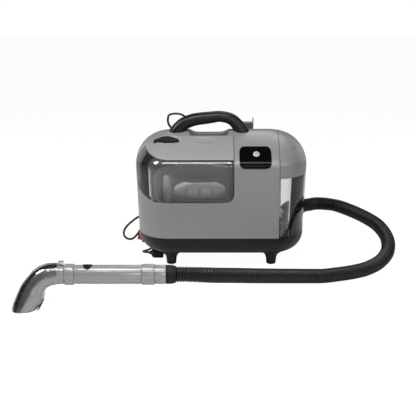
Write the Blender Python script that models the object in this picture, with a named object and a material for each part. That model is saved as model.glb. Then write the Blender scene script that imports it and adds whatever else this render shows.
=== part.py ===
"""Portable carpet cleaner: a machine with two water tanks, a suction hose and a hand tool.

Everything is modelled in the machine's own frame, in metres: x to the right, y to the
back, z up from the floor, with the machine's centre at x = y = 0. The whole assembly hangs
on one empty, which puts the origin under the middle of the machine and the hand tool.
"""
import math

import bmesh
import bpy
from mathutils import Matrix, Vector

ASSEMBLY_PLACE = (0.1180, 0.1491, 0.0)

# machine body
BODY_HALF_LEN = 0.210
BODY_HALF_DEP = 0.115
END_REACH = 0.080
BODY_TOP = 0.3195
DOME_START = 0.235
CREASE = 0.250
BASE_TOP = 0.073
HULL_BOTTOM = 0.0315
WALL = 0.003
GAP = 0.0003

# where the body divides
TANK_RIGHT = 0.030
TANK_BACK = -0.030
TANK_SILL = 0.161
TANK_CORNER = 0.021
LID_EDGE = 0.262
LID_FRONT = -0.107
LID_SLOPE = 0.31
SPLIT_BACK = 0.030
RIGHT_SEAM = 0.1375
CLEAN_TANK_BACK = 0.055
CLEAN_TANK_TOP = 0.2195
TROUGH = (-0.0795, 0.019, 0.302)
CHAMBER_TOP = 0.296

# feet
FOOT_X = 0.122
FOOT_Y = 0.070
PAD_HEIGHT = 0.006

# hand tool
TOOL_Y = -0.405
TOOL_Z = 0.072
TUBE_RADIUS = 0.0205
TUBE_WALL = 0.003

# hose and mains cord
HOSE_RADIUS = 0.017
CORD_RADIUS = 0.00275
ELBOW_FOOT = (0.160, 0.077)
ELBOW_TURN = 0.030
ELBOW_HEADING = math.radians(30)
ELBOW_HEIGHT = 0.105
CUFF_LENGTH = 0.026
COIL_X = -0.030
COIL_LOW = 0.145
COIL_HIGH = 0.245
COIL_INNER = 0.024
COIL_OUTER = 0.0365
COIL_FRONT = 0.1215
COIL_BACK = 0.1470

FINISHES = {
    "casing_grey": ((0.20, 0.20, 0.205), 0.38, 0.0),
    "lid_grey": ((0.26, 0.26, 0.265), 0.32, 0.0),
    "black_plastic": ((0.010, 0.010, 0.011), 0.42, 0.0),
    "black_rubber": ((0.012, 0.012, 0.012), 0.75, 0.0),
    "gloss_black": ((0.004, 0.004, 0.005), 0.08, 0.0),
    "smoked_clear": ((0.16, 0.16, 0.17), 0.10, 0.0),
    "clear": ((0.70, 0.72, 0.74), 0.08, 0.0),
    "silver": ((0.62, 0.62, 0.63), 0.30, 0.6),
    "red": ((0.34, 0.03, 0.027), 0.35, 0.0),
    "steel": ((0.55, 0.55, 0.56), 0.28, 1.0),
    "copper": ((0.55, 0.27, 0.15), 0.35, 1.0),
    "foam": ((0.05, 0.05, 0.055), 0.95, 0.0),
    "board_green": ((0.02, 0.12, 0.06), 0.50, 0.0),
    "milky": ((0.60, 0.60, 0.58), 0.45, 0.0),
}


# ---------------------------------------------------------------- general helpers

def clear_scene():
    for item in list(bpy.data.objects):
        bpy.data.objects.remove(item, do_unlink=True)


def finish_material(finish):
    material = bpy.data.materials.get(finish)
    if material is None:
        colour, roughness, metallic = FINISHES[finish]
        material = bpy.data.materials.new(finish)
        material.use_nodes = True
        shader = material.node_tree.nodes["Principled BSDF"]
        shader.inputs["Base Color"].default_value = (*colour, 1.0)
        shader.inputs["Roughness"].default_value = roughness
        shader.inputs["Metallic"].default_value = metallic
    return material


def assembly_empty():
    empty = bpy.data.objects.get("assembly")
    if empty is None:
        empty = bpy.data.objects.new("assembly", None)
        empty.location = ASSEMBLY_PLACE
        bpy.context.scene.collection.objects.link(empty)
    return empty


def place(item, origin=(0, 0, 0)):
    item.parent = assembly_empty()
    item.location = origin
    bpy.context.scene.collection.objects.link(item)
    return item


def add_piece(name, bm, finish, origin=(0, 0, 0), sharp=32):
    """One object from a bmesh in machine coordinates, with its own origin."""
    bmesh.ops.recalc_face_normals(bm, faces=bm.faces)
    bmesh.ops.translate(bm, verts=bm.verts, vec=-Vector(origin))
    mesh = bpy.data.meshes.new(name)
    bm.to_mesh(mesh)
    bm.free()
    mesh.shade_smooth()
    mesh.set_sharp_from_angle(angle=math.radians(sharp))
    mesh.materials.append(finish_material(finish))
    return place(bpy.data.objects.new(name, mesh), origin)


def add_cutter(name, bm):
    cutter = add_piece(name, bm, "milky")
    cutter.hide_render = True
    cutter.display_type = "WIRE"
    return cutter


def combine(item, operation, *others):
    for other in others:
        step = item.modifiers.new(f"{operation.lower()}_{other.name}", "BOOLEAN")
        step.operation = operation
        step.solver = "EXACT"
        step.object = other
    return item


def cut(item, *others):
    return combine(item, "DIFFERENCE", *others)


def keep(item, *others):
    return combine(item, "INTERSECT", *others)


def join(item, *others):
    return combine(item, "UNION", *others)


def loft(rings, closed=False):
    """Skin over rings of equal length, capped at both ends unless it closes on itself."""
    bm = bmesh.new()
    rows = [[bm.verts.new(point) for point in ring] for ring in rings]
    pairs = list(zip(rows, rows[1:]))
    if closed:
        pairs.append((rows[-1], rows[0]))
    for low, high in pairs:
        for i in range(len(low)):
            j = (i + 1) % len(low)
            bm.faces.new((low[i], low[j], high[j], high[i]))
    if not closed:
        bm.faces.new(rows[0])
        bm.faces.new(rows[-1])
    return bm


def oval(centre, across, along, wide, high, steps=24, power=2.0):
    """Points of an oval, or of a rounded box when power is above 2."""
    ring = []
    for i in range(steps):
        turn = 2 * math.pi * i / steps
        c, s = math.cos(turn), math.sin(turn)
        u = math.copysign(abs(c) ** (2 / power), c) * wide
        v = math.copysign(abs(s) ** (2 / power), s) * high
        ring.append(Vector(centre) + u * Vector(across) + v * Vector(along))
    return ring


def turned(foot, axis, profile, steps=24, closed=False):
    """A turned solid: profile holds (radius, distance along the axis) pairs."""
    axis = Vector(axis).normalized()
    across = axis.orthogonal().normalized()
    along = axis.cross(across)
    rings = [
        oval(Vector(foot) + axis * distance, across, along, radius, radius, steps)
        for radius, distance in profile
    ]
    return loft(rings, closed)


def block(low, high, bevel=0.0, segments=1):
    bm = bmesh.new()
    bmesh.ops.create_cube(bm, size=1.0)
    for vert in bm.verts:
        vert.co = [low[i] + (vert.co[i] + 0.5) * (high[i] - low[i]) for i in range(3)]
    if bevel:
        bmesh.ops.bevel(
            bm, geom=bm.edges[:], offset=bevel, segments=segments,
            affect="EDGES", profile=0.5, material=-1,
        )
    return bm


def rounded_outline(corners, steps=4):
    """A 2D outline with an arc at each corner given as (u, v, radius)."""
    points = []
    for i, (u, v, radius) in enumerate(corners):
        corner = Vector((u, v))
        if radius == 0:
            points.append(corner)
            continue
        before = (Vector(corners[i - 1][:2]) - corner).normalized()
        after = (Vector(corners[(i + 1) % len(corners)][:2]) - corner).normalized()
        half = before.angle(after) / 2
        reach = radius / math.tan(half)
        centre = corner + (before + after).normalized() * (radius / math.sin(half))
        start = corner + before * reach - centre
        end = corner + after * reach - centre
        sweep = start.angle_signed(end)
        for k in range(steps + 1):
            turn = -sweep * k / steps
            c, s = math.cos(turn), math.sin(turn)
            points.append(centre + Vector((start.x * c - start.y * s, start.x * s + start.y * c)))
    return points


def prism(outline, axis, low, high):
    """A 2D outline pushed along x, y or z."""
    def lift(point, level):
        if axis == "x":
            return (level, point[0], point[1])
        if axis == "y":
            return (point[0], level, point[1])
        return (point[0], point[1], level)
    return loft([[lift(p, low) for p in outline], [lift(p, high) for p in outline]])


def smooth_route(points, count):
    """Evenly spaced points on a smooth curve through the route's own points."""
    route = [Vector(p) for p in points]
    ends = [2 * route[0] - route[1]] + route + [2 * route[-1] - route[-2]]
    fine = []
    for i in range(1, len(ends) - 2):
        a, b, c, d = ends[i - 1:i + 3]
        for k in range(24):
            t = k / 24
            fine.append(
                0.5 * (2 * b + (c - a) * t + (2 * a - 5 * b + 4 * c - d) * t ** 2
                       + (3 * b - a - 3 * c + d) * t ** 3)
            )
    fine.append(route[-1])
    lengths = [0.0]
    for a, b in zip(fine, fine[1:]):
        lengths.append(lengths[-1] + (b - a).length)
    result = []
    k = 0
    for i in range(count):
        target = lengths[-1] * i / (count - 1)
        while k < len(fine) - 2 and lengths[k + 1] < target:
            k += 1
        share = (target - lengths[k]) / (lengths[k + 1] - lengths[k])
        result.append(fine[k].lerp(fine[k + 1], min(share, 1.0)))
    return result


def tube(name, points, radius, finish, resolution=3):
    """A solid round tube along a line of points, closed at both ends."""
    curve = bpy.data.curves.new(name, "CURVE")
    curve.dimensions = "3D"
    curve.bevel_depth = radius
    curve.bevel_resolution = resolution
    curve.use_fill_caps = True
    spline = curve.splines.new("POLY")
    spline.points.add(len(points) - 1)
    for spot, point in zip(spline.points, points):
        spot.co = (*point, 1.0)
    curve.materials.append(finish_material(finish))
    return place(bpy.data.objects.new(name, curve))


# ---------------------------------------------------------------- the body's outer form

def plan_ring(half_len, half_dep, z, quarter=7, shift=0.0):
    """Plan outline at one height: straight sides and half-oval ends."""
    reach = END_REACH * (half_len - 0.10) / (BODY_HALF_LEN - 0.10)
    straight = half_len - reach
    ring = []
    for i in range(4 * quarter + 2):
        right = i <= 2 * quarter
        turn = math.pi * (i if right else i - 1) / (2 * quarter) - math.pi / 2
        side = straight if right else -straight
        ring.append((side + reach * math.cos(turn), shift + half_dep * math.sin(turn), z))
    return ring


def half_length_at(z):
    if z <= DOME_START:
        return BODY_HALF_LEN - 0.0065 * (DOME_START - z) / (DOME_START - BASE_TOP)
    rise = (z - DOME_START) / (BODY_TOP - DOME_START)
    return 0.11 + (BODY_HALF_LEN - 0.11) * (1 - rise ** 2.2) ** (1 / 2.2)


def front_reach_at(z):
    """How far the sloping front stands before the middle plane."""
    if z <= CREASE:
        return BODY_HALF_DEP - 0.003 * (CREASE - z) / (CREASE - BASE_TOP)
    rise = (z - CREASE) / (BODY_TOP - CREASE)
    return BODY_HALF_DEP * (1 - rise ** 1.35) ** 0.75


def back_reach_at(z):
    """The back is more upright than the front."""
    if z <= CREASE:
        return front_reach_at(z)
    rise = (z - CREASE) / (BODY_TOP - CREASE)
    return BODY_HALF_DEP * math.sqrt(1 - rise ** 3)


def body_form(offset=0.0, low=BASE_TOP + GAP, quarter=7):
    """The loaf-shaped outer form of the machine, grown or shrunk by an offset."""
    heights = [0.160, 0.235, 0.250, 0.258, 0.266, 0.2745, 0.283, 0.291, 0.299, 0.306, 0.3115]
    heights = [low] + [z for z in heights if z > low + 0.004] + [0.3158, 0.3186]
    rings = []
    for z in heights:
        lift = max(0.0, (z - DOME_START) / (BODY_TOP - DOME_START))
        front, back = front_reach_at(z), back_reach_at(z)
        rings.append(plan_ring(
            half_length_at(z) + offset, (front + back) / 2 + offset,
            z + offset * lift, quarter, (back - front) / 2,
        ))
    return loft(rings)


# ---------------------------------------------------------------- base

def base_tray():
    levels = [
        (0.1650, 0.0830, HULL_BOTTOM), (0.1760, 0.0920, 0.0327), (0.1870, 0.1005, 0.0368),
        (0.1955, 0.1070, 0.0450), (0.2010, 0.1105, 0.0560), (0.2035, 0.1120, BASE_TOP),
    ]
    tray = add_piece("base_tray", loft([plan_ring(*level) for level in levels]), "black_plastic")
    for side_x in (-1, 1):
        for side_y in (-1, 1):
            leg = turned(
                (side_x * FOOT_X, side_y * FOOT_Y, PAD_HEIGHT + GAP), (0, 0, 1),
                [(0.0128, 0.0), (0.0135, 0.006), (0.0140, 0.014), (0.0158, 0.021),
                 (0.0195, 0.0262), (0.0250, 0.0295)], 20,
            )
            join(tray, add_cutter(f"leg_{side_x}_{side_y}", leg))
    room = [plan_ring(l - WALL, d - WALL, z) for l, d, z in levels[2:]]
    room[0] = plan_ring(0.1790, 0.0920, HULL_BOTTOM + WALL)
    room[-1] = plan_ring(0.2005, 0.1090, BASE_TOP + 0.01)
    room_form = add_cutter("tray_room", loft(room))
    keep(room_form, add_cutter("tray_room_end", block((-0.3, -0.2, 0.0), (0.131, 0.2, 0.2))))
    cut(tray, room_form)
    notch = block((-0.3, 0.0037, 0.0332), (-0.1902, 0.0423, 0.0628))
    cut(tray, add_cutter("switch_notch", notch))
    seat = turned((0.172, -0.020, 0.060), (0, 0, 1), [(0.0078, 0.0), (0.0078, 0.03)], 16)
    return cut(tray, add_cutter("valve_seat", seat))


def foot_pads():
    profile = [(0.0112, 0.0), (0.0122, 0.0010), (0.0126, PAD_HEIGHT)]
    for name, x, y in (
        ("foot_pad_front_left", -FOOT_X, -FOOT_Y), ("foot_pad_front_right", FOOT_X, -FOOT_Y),
        ("foot_pad_rear_left", -FOOT_X, FOOT_Y), ("foot_pad_rear_right", FOOT_X, FOOT_Y),
    ):
        add_piece(name, turned((x, y, 0.0), (0, 0, 1), profile, 20), "black_rubber")


# ---------------------------------------------------------------- casings

def window_space(name, margin):
    """The space over the sill where the casing gives way to the dirty tank."""
    front = rounded_outline([
        (-0.30, TANK_SILL + margin, 0), (TANK_RIGHT - margin, TANK_SILL + margin, TANK_CORNER),
        (TANK_RIGHT - margin, 0.40, 0), (-0.30, 0.40, 0),
    ])
    side = rounded_outline([
        (-0.20, TANK_SILL + margin - 0.01, 0), (TANK_BACK - margin, TANK_SILL + margin - 0.01, 0),
        (TANK_BACK - margin, 0.39, 0), (-0.20, 0.39, 0),
    ])
    space = add_cutter(name, prism(front, "y", -0.21, 0.0))
    return keep(space, add_cutter(name + "_back", prism(side, "x", -0.29, 0.05)))


def trough_cutter():
    left, right, floor = TROUGH
    outline = rounded_outline([
        (left, floor, 0.016), (right, floor, 0.016), (right, 0.35, 0), (left, 0.35, 0),
    ])
    return add_cutter("trough", prism(outline, "y", -0.06, 0.16))


def chamber(name, low, high):
    """Room inside a shell: the body form shrunk by one wall, limited to a box."""
    room = add_cutter(name, body_form(-WALL, 0.060))
    return keep(room, add_cutter(name + "_box", block(low, high)))


def front_casing(trough):
    casing = add_piece("front_casing", body_form(), "casing_grey")
    keep(casing, add_cutter("front_part", block((-0.3, -0.2, 0.0), (RIGHT_SEAM, SPLIT_BACK, 0.4))))
    cut(casing, window_space("casing_window", 0.0))
    pocket = add_cutter("tank_pocket", body_form(-0.0040, 0.0889))
    keep(pocket, add_cutter("tank_pocket_box", block((-0.3, -0.2, 0.08), (0.0262, -0.0325, 0.170))))
    cut(casing, pocket, trough)
    behind = chamber("room_behind", (-0.3, -0.0265, 0.05), (RIGHT_SEAM - WALL, 0.1, CHAMBER_TOP))
    beside = chamber("room_beside", (0.0335, -0.2, 0.05), (RIGHT_SEAM - WALL, -0.01, CHAMBER_TOP))
    cut(casing, behind, beside)
    centre, normal = button_seat()
    hole = turned(centre - normal * 0.02, normal, [(0.0088, 0.0), (0.0088, 0.04)], 20)
    return cut(casing, add_cutter("button_hole", hole))


def rear_casing(trough):
    casing = add_piece("rear_casing", body_form(), "casing_grey")
    part = block((-0.3, SPLIT_BACK + GAP, 0.0), (RIGHT_SEAM, 0.2, 0.4))
    keep(casing, add_cutter("rear_part", part))
    cut(casing, chamber("rear_room", (-0.3, 0.0, 0.05), (RIGHT_SEAM - WALL, 0.2, CHAMBER_TOP)))
    cut(casing, trough)
    for row in range(5):
        z = 0.150 + 0.014 * row
        slot = block((0.040, 0.09, z), (0.100, 0.13, z + 0.006))
        cut(casing, add_cutter(f"exhaust_slot_{row}", slot))
    return casing


# ---------------------------------------------------------------- dirty tank

def over_lid_seam(name, gap):
    """Everything above the lid's seam, a plane that climbs towards the back."""
    low = LID_EDGE + gap
    outline = [(-0.20, low + LID_SLOPE * (-0.20 - LID_FRONT)), (0.02, low + LID_SLOPE * (0.02 - LID_FRONT)),
               (0.02, 0.40), (-0.20, 0.40)]
    return add_cutter(name, prism(outline, "x", -0.3, 0.3))


def dirty_tank():
    tank = add_piece("dirty_tank", body_form(), "smoked_clear", (-0.09, -0.075, 0.09))
    window = window_space("tank_window", GAP)
    cut(tank, over_lid_seam("tank_above", 0.0))
    keep(tank, window)
    lower = add_cutter("tank_lower", body_form(-0.0048, 0.0893))
    lower_box = block((-0.3, -0.2, 0.08), (0.0254, -0.0333, 0.180))
    keep(lower, add_cutter("tank_lower_box", lower_box))
    join(tank, lower)
    hollow = add_cutter("tank_hollow", body_form(-0.0078, 0.0923))
    keep(hollow, add_cutter("hollow_box", block((-0.3, -0.2, 0.08), (0.0224, -0.0363, 0.30))))
    upper = add_cutter("tank_upper", body_form(-WALL, 0.1700))
    upper_box = block((-0.3, -0.2, 0.16), (TANK_RIGHT - 0.0033, TANK_BACK - 0.0033, 0.30))
    keep(upper, add_cutter("upper_box", upper_box))
    return cut(tank, hollow, upper)


def dirty_tank_lid():
    lid = add_piece("dirty_tank_lid", body_form(), "lid_grey", (-0.09, -0.075, LID_EDGE))
    part = block((-0.3, -0.2, 0.2), (TANK_RIGHT - GAP, TANK_BACK - GAP, 0.4))
    keep(lid, add_cutter("lid_part", part))
    keep(lid, over_lid_seam("lid_above", GAP))
    under = add_cutter("lid_under", body_form(-WALL, 0.2400))
    under_box = block((-0.3, -0.2, 0.23), (TANK_RIGHT - 0.0033, TANK_BACK - 0.0033, 0.4))
    keep(under, add_cutter("lid_under_box", under_box))
    spout = turned((-0.133, -0.052, 0.27), (0, 0, 1), [(0.007, 0.0), (0.007, 0.06)], 16)
    return cut(lid, under, add_cutter("pour_hole", spout))


def leaf_stopper():
    """A rubber leaf with a tail, hinged at the tail."""
    outline = [
        (-0.1650, -0.0530), (-0.1600, -0.0560), (-0.1560, -0.0555), (-0.1510, -0.0585),
        (-0.1400, -0.0635), (-0.1260, -0.0640), (-0.1120, -0.0600), (-0.1020, -0.0545),
        (-0.1015, -0.0520), (-0.1120, -0.0460), (-0.1260, -0.0420), (-0.1400, -0.0415),
        (-0.1510, -0.0445), (-0.1560, -0.0465), (-0.1600, -0.0455), (-0.1650, -0.0490),
    ]
    leaf = add_piece("tank_stopper", prism(outline, "z", 0.26, 0.34), "black_rubber",
                     (-0.1620, -0.0510, 0.2960))
    keep(leaf, add_cutter("leaf_above", body_form(0.0040)))
    return cut(leaf, add_cutter("leaf_below", body_form(GAP)))


def tank_inside():
    riser = [(0.0110, 0.0), (0.0110, 0.122), (0.0100, 0.126), (0.0075, 0.1290), (0.0035, 0.1305)]
    add_piece("riser_tube", turned((-0.1306, -0.074, 0.0928), (0, 0, 1), riser, 20), "milky")
    basket = []
    for wide, deep, z in (
        (0.040, 0.016, 0.164), (0.058, 0.0255, 0.1670), (0.066, 0.0290, 0.1740),
        (0.066, 0.0290, 0.2060), (0.063, 0.0262, 0.2060), (0.063, 0.0262, 0.1750),
        (0.056, 0.0235, 0.1695), (0.038, 0.0140, 0.1668),
    ):
        basket.append(oval((-0.050, -0.074, z), (1, 0, 0), (0, 1, 0), wide, deep, 32))
    bowl = loft(basket)
    bowl.faces.ensure_lookup_table()
    strainer = add_piece("strainer_basket", bowl, "milky")
    for k in range(12):
        turn = 2 * math.pi * (k + 0.5) / 12
        spot = Vector((-0.050 + 0.0645 * math.cos(turn), -0.074 + 0.0276 * math.sin(turn), 0.0))
        half = 0.0075 if abs(math.sin(turn)) < 0.5 else 0.0105
        low = (spot.x - half, spot.y - 0.006, 0.182)
        high = (spot.x + half, spot.y + 0.006, 0.200)
        cut(strainer, add_cutter(f"basket_window_{k}", block(low, high)))
    ball = [(0.004, -0.0105), (0.0085, -0.0080), (0.0110, -0.0035), (0.0115, 0.0),
            (0.0110, 0.0035), (0.0085, 0.0080), (0.004, 0.0105)]
    float_place = (-0.050, -0.074, 0.1790)
    add_piece("float", turned(float_place, (0, 0, 1), ball, 16), "foam", float_place)


# ---------------------------------------------------------------- clean tank

def clean_tank():
    tank = add_piece("clean_tank", body_form(), "clear", (0.172, -0.020, BASE_TOP))
    part = block((RIGHT_SEAM + GAP, -0.2, 0.0), (0.3, CLEAN_TANK_BACK, CLEAN_TANK_TOP - GAP))
    keep(tank, add_cutter("clean_part", part))
    hollow = add_cutter("clean_hollow", body_form(-WALL, BASE_TOP + WALL))
    room = block((RIGHT_SEAM + 0.0033, -0.2, 0.05), (0.3, CLEAN_TANK_BACK - WALL, 0.25))
    keep(hollow, add_cutter("clean_room", room))
    hole = turned((0.172, -0.020, 0.06), (0, 0, 1), [(0.0070, 0.0), (0.0070, 0.04)], 16)
    return cut(tank, hollow, add_cutter("clean_outlet", hole))


def clean_tank_cap():
    cap = add_piece("clean_tank_cap", body_form(), "casing_grey", (0.172, 0.0, CLEAN_TANK_TOP))
    part = block((RIGHT_SEAM + GAP, -0.2, CLEAN_TANK_TOP), (0.3, 0.2, 0.4))
    keep(cap, add_cutter("cap_part", part))
    under = add_cutter("cap_under", body_form(-WALL, 0.2000))
    keep(under, add_cutter("cap_room", block((RIGHT_SEAM + 0.0033, -0.2, 0.1), (0.3, 0.2, 0.4))))
    return cut(cap, under)


def clean_tank_valve():
    profile = [(0.0060, 0.0), (0.0066, 0.002), (0.0066, 0.0146), (0.0110, 0.0146),
               (0.0110, 0.0178), (0.0045, 0.0178), (0.0045, 0.0230)]
    place_at = (0.172, -0.020, 0.0620)
    add_piece("clean_tank_valve", turned(place_at, (0, 0, 1), profile, 16), "milky", place_at)


# ---------------------------------------------------------------- handle, panel, switch

def carry_handle():
    spine = [
        (-0.1155, 0.2960, 0.0185, 0.0190), (-0.1103, 0.3130, 0.0182, 0.0185),
        (-0.1016, 0.3257, 0.0166, 0.0175), (-0.0912, 0.3354, 0.0156, 0.0168),
        (-0.0757, 0.3423, 0.0154, 0.0163), (-0.0600, 0.3465, 0.0152, 0.0160),
        (-0.0424, 0.3487, 0.0150, 0.0160), (-0.0226, 0.3511, 0.0143, 0.0160),
        (-0.0044, 0.3531, 0.0134, 0.0160), (0.0164, 0.3497, 0.0137, 0.0162),
        (0.0290, 0.3430, 0.0143, 0.0165), (0.0385, 0.3335, 0.0152, 0.0170),
        (0.0460, 0.3235, 0.0168, 0.0178), (0.0515, 0.3130, 0.0184, 0.0186),
        (0.0570, 0.2960, 0.0188, 0.0190),
    ]
    rings = []
    for i, (x, z, thick, deep) in enumerate(spine):
        x0, z0 = spine[max(i - 1, 0)][:2]
        x1, z1 = spine[min(i + 1, len(spine) - 1)][:2]
        run = Vector((x1 - x0, 0.0, z1 - z0)).normalized()
        up = Vector((-run.z, 0.0, run.x))
        rings.append(oval((x, 0.0, z), (0, 1, 0), up, deep, thick, 16, 2.2))
    handle = add_piece("carry_handle", loft(rings), "black_plastic", sharp=50)
    return cut(handle, add_cutter("handle_seat", body_form(GAP, 0.10)))


def button_seat():
    """Centre and outward direction of the power button on the sloping shoulder."""
    z = 0.275
    slope = (front_reach_at(z + 0.001) - front_reach_at(z - 0.001)) / 0.002
    normal = Vector((0.0, -1.0, -slope)).normalized()
    return Vector((0.0824, -front_reach_at(z), z)), normal


def control_panel():
    outline = rounded_outline([
        (0.0420, 0.2445, 0.014), (0.1180, 0.2445, 0.014),
        (0.1175, 0.2890, 0.009), (0.0425, 0.2890, 0.009),
    ])
    panel = add_piece("control_panel", prism(outline, "y", -0.15, -0.02), "gloss_black")
    keep(panel, add_cutter("panel_above", body_form(0.0016)))
    cut(panel, add_cutter("panel_below", body_form(GAP)))
    centre, normal = button_seat()
    hole = turned(centre - normal * 0.03, normal, [(0.0086, 0.0), (0.0086, 0.06)], 20)
    return cut(panel, add_cutter("panel_hole", hole))


def power_button():
    centre, normal = button_seat()
    profile = [(0.0070, -0.0040), (0.0080, -0.0032), (0.0080, 0.0018), (0.0072, 0.0026),
               (0.0045, 0.0029)]
    add_piece("power_button", turned(centre, normal, profile, 20), "silver", centre)
    board = block((-0.030, -0.018, -0.0119), (0.030, 0.018, -0.0103))
    turn = Vector((0, 0, 1)).rotation_difference(normal).to_matrix().to_4x4()
    bmesh.ops.transform(board, verts=board.verts, matrix=Matrix.Translation(centre) @ turn)
    circuit = add_piece("circuit_board", board, "board_green")
    switch = turned(centre - normal * 0.0110, normal, [(0.0035, 0.0), (0.0035, 0.0054)], 12)
    join(circuit, add_cutter("button_switch", switch))


def rocker_switch():
    """Mains rocker at the left end of the base, in its own bezel."""
    bezel = add_piece("switch_bezel", block((-0.1990, 0.004, 0.0335), (-0.1905, 0.042, 0.0625),
                                            0.0015), "black_plastic")
    window = block((-0.2100, 0.0080, 0.0375), (-0.1930, 0.0380, 0.0585))
    cut(bezel, add_cutter("bezel_window", window))
    outline = [(-0.1965, 0.0385), (-0.2010, 0.0382), (-0.2075, 0.0405), (-0.2030, 0.0480),
               (-0.2055, 0.0570), (-0.2010, 0.0578), (-0.1965, 0.0575)]
    flat = prism([(x, z) for x, z in outline], "y", 0.0088, 0.0372)
    add_piece("rocker_switch", flat, "red", (-0.1975, 0.0230, 0.0480))


# ---------------------------------------------------------------- inside the machine

def vacuum_unit():
    axis_x, axis_y = 0.065, 0.043
    foot = (axis_x, axis_y, 0.0)
    mount = [(0.044, 0.0350), (0.044, 0.0470), (0.030, 0.0470), (0.030, 0.0350)]
    add_piece("motor_mount", turned(foot, (0, 0, 1), mount, 24, closed=True), "black_rubber")
    motor = [(0.036, 0.0473), (0.038, 0.0500), (0.038, 0.1120), (0.030, 0.1180),
             (0.012, 0.1200), (0.0040, 0.1200), (0.0040, 0.1600)]
    add_piece("vacuum_motor", turned(foot, (0, 0, 1), motor, 24), "steel")
    housing = [
        (0.0560, 0.1240), (0.0560, 0.1660), (0.0540, 0.1680), (0.0180, 0.1680),
        (0.0180, 0.1655), (0.0530, 0.1655), (0.0530, 0.1270), (0.0200, 0.1270),
        (0.0200, 0.1240),
    ]
    add_piece("fan_housing", turned(foot, (0, 0, 1), housing, 28, closed=True), "black_plastic")
    disc = [(0.0045, 0.1320), (0.0480, 0.1320), (0.0480, 0.1340), (0.0110, 0.1345),
            (0.0095, 0.1600), (0.0045, 0.1600)]
    impeller = add_piece("fan_impeller", turned(foot, (0, 0, 1), disc, 24, closed=True),
                         "copper", (axis_x, axis_y, 0.1320))
    for k in range(7):
        blade = block((0.0085, -0.0009, 0.1330), (0.0465, 0.0009, 0.1540))
        spin = Matrix.Rotation(2 * math.pi * k / 7, 4, "Z")
        move = Matrix.Translation(foot)
        bmesh.ops.transform(blade, verts=blade.verts, matrix=move @ spin)
        join(impeller, add_cutter(f"fan_blade_{k}", blade))
    duct = smooth_route([
        (-0.075, 0.000, 0.262), (-0.040, 0.004, 0.268), (0.000, 0.018, 0.262),
        (0.040, 0.035, 0.238), (0.062, 0.042, 0.205), (axis_x, axis_y, 0.1690),
    ], 14)
    add_piece("suction_duct", hollow_tube(duct, 0.0150, 0.0130), "black_plastic")


def hollow_tube(points, radius, bore, steps=14):
    """A pipe along a line of points, open at both ends."""
    outer, inner = [], []
    for i, point in enumerate(points):
        run = (points[min(i + 1, len(points) - 1)] - points[max(i - 1, 0)]).normalized()
        across = run.cross(Vector((0, 1, 0.001))).normalized()
        along = run.cross(across)
        outer.append(oval(point, across, along, radius, radius, steps))
        inner.append(oval(point, across, along, bore, bore, steps))
    return loft(outer + inner[::-1], closed=True)


def pump_unit():
    body = add_piece("water_pump", block((-0.130, 0.020, 0.0350), (-0.070, 0.060, 0.0720), 0.004),
                     "black_plastic")
    nose = turned((-0.0705, 0.040, 0.0540), (1, 0, 0), [(0.013, 0.0), (0.013, 0.018),
                                                        (0.005, 0.022), (0.005, 0.032)], 16)
    join(body, add_cutter("pump_nose", nose))
    inlet = smooth_route([
        (-0.0380, 0.040, 0.0540), (-0.010, 0.036, 0.050), (0.010, 0.010, 0.045),
        (0.040, -0.030, 0.044), (0.090, -0.045, 0.046), (0.1260, -0.030, 0.050),
    ], 16)
    tube("pump_inlet_tube", inlet, 0.0035, "milky", 2)
    outlet = smooth_route([
        (-0.100, 0.040, 0.0724), (-0.098, 0.046, 0.100), (-0.080, 0.075, 0.118),
        (-0.030, 0.092, 0.122), (0.004, 0.096, 0.110), (0.012, 0.097, 0.090),
    ], 16)
    tube("pump_outlet_tube", outlet, 0.0035, "milky", 2)
    filter_block = block((0.038, 0.1035, 0.146), (0.102, 0.1092, 0.214))
    add_piece("exhaust_filter", filter_block, "foam")


# ---------------------------------------------------------------- back of the machine

def cord_hook(name, z, up):
    """A post on the back with a lip that holds the winding."""
    if up:
        outline = [(BODY_HALF_DEP + GAP, z - 0.007), (0.1530, z - 0.007), (0.1530, z + 0.030),
                   (0.1490, z + 0.030), (0.1490, z + 0.007), (BODY_HALF_DEP + GAP, z + 0.007)]
    else:
        outline = [(BODY_HALF_DEP + GAP, z + 0.007), (BODY_HALF_DEP + GAP, z - 0.007),
                   (0.1490, z - 0.007), (0.1490, z - 0.030), (0.1530, z - 0.030),
                   (0.1530, z + 0.007)]
    add_piece(name, prism(outline, "x", COIL_X - 0.013, COIL_X + 0.013), "black_plastic")


def tool_bracket():
    """A grey cradle on the back whose horn stands above the top."""
    outline = rounded_outline([
        (0.1153, 0.236, 0.0), (0.1213, 0.236, 0.002), (0.1213, 0.290, 0.006),
        (0.1420, 0.296, 0.004), (0.1420, 0.301, 0.002), (0.1213, 0.301, 0.0),
        (0.1213, 0.318, 0.004), (0.1050, 0.326, 0.002), (0.0980, 0.326, 0.0),
        (0.0980, 0.322, 0.0), (0.1153, 0.300, 0.004),
    ], 3)
    bracket = add_piece("tool_bracket", prism(outline, "x", 0.036, 0.0833), "casing_grey")
    cut(bracket, add_cutter("bracket_seat", body_form(GAP, 0.20)))
    horn = block((0.0803, 0.0990, 0.3230), (0.0833, 0.1060, 0.3355))
    return join(bracket, add_cutter("bracket_horn", horn))


def case_screws():
    for name, x, z in (
        ("case_screw_low_left", -0.118, 0.130), ("case_screw_low_right", 0.122, 0.100),
        ("case_screw_high_left", -0.118, 0.215), ("case_screw_high_right", 0.122, 0.225),
    ):
        head = [(0.0032, 0.0), (0.0032, 0.0012), (0.0020, 0.0020)]
        foot = (x, back_reach_at(z) + GAP, z)
        add_piece(name, turned(foot, (0, 1, 0), head, 12), "steel")


# ---------------------------------------------------------------- hose

def elbow_end():
    heading = Vector((math.cos(ELBOW_HEADING), math.sin(ELBOW_HEADING), 0.0))
    foot = Vector((*ELBOW_FOOT, ELBOW_HEIGHT))
    return foot + heading * (ELBOW_TURN + 0.008), heading


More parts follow.
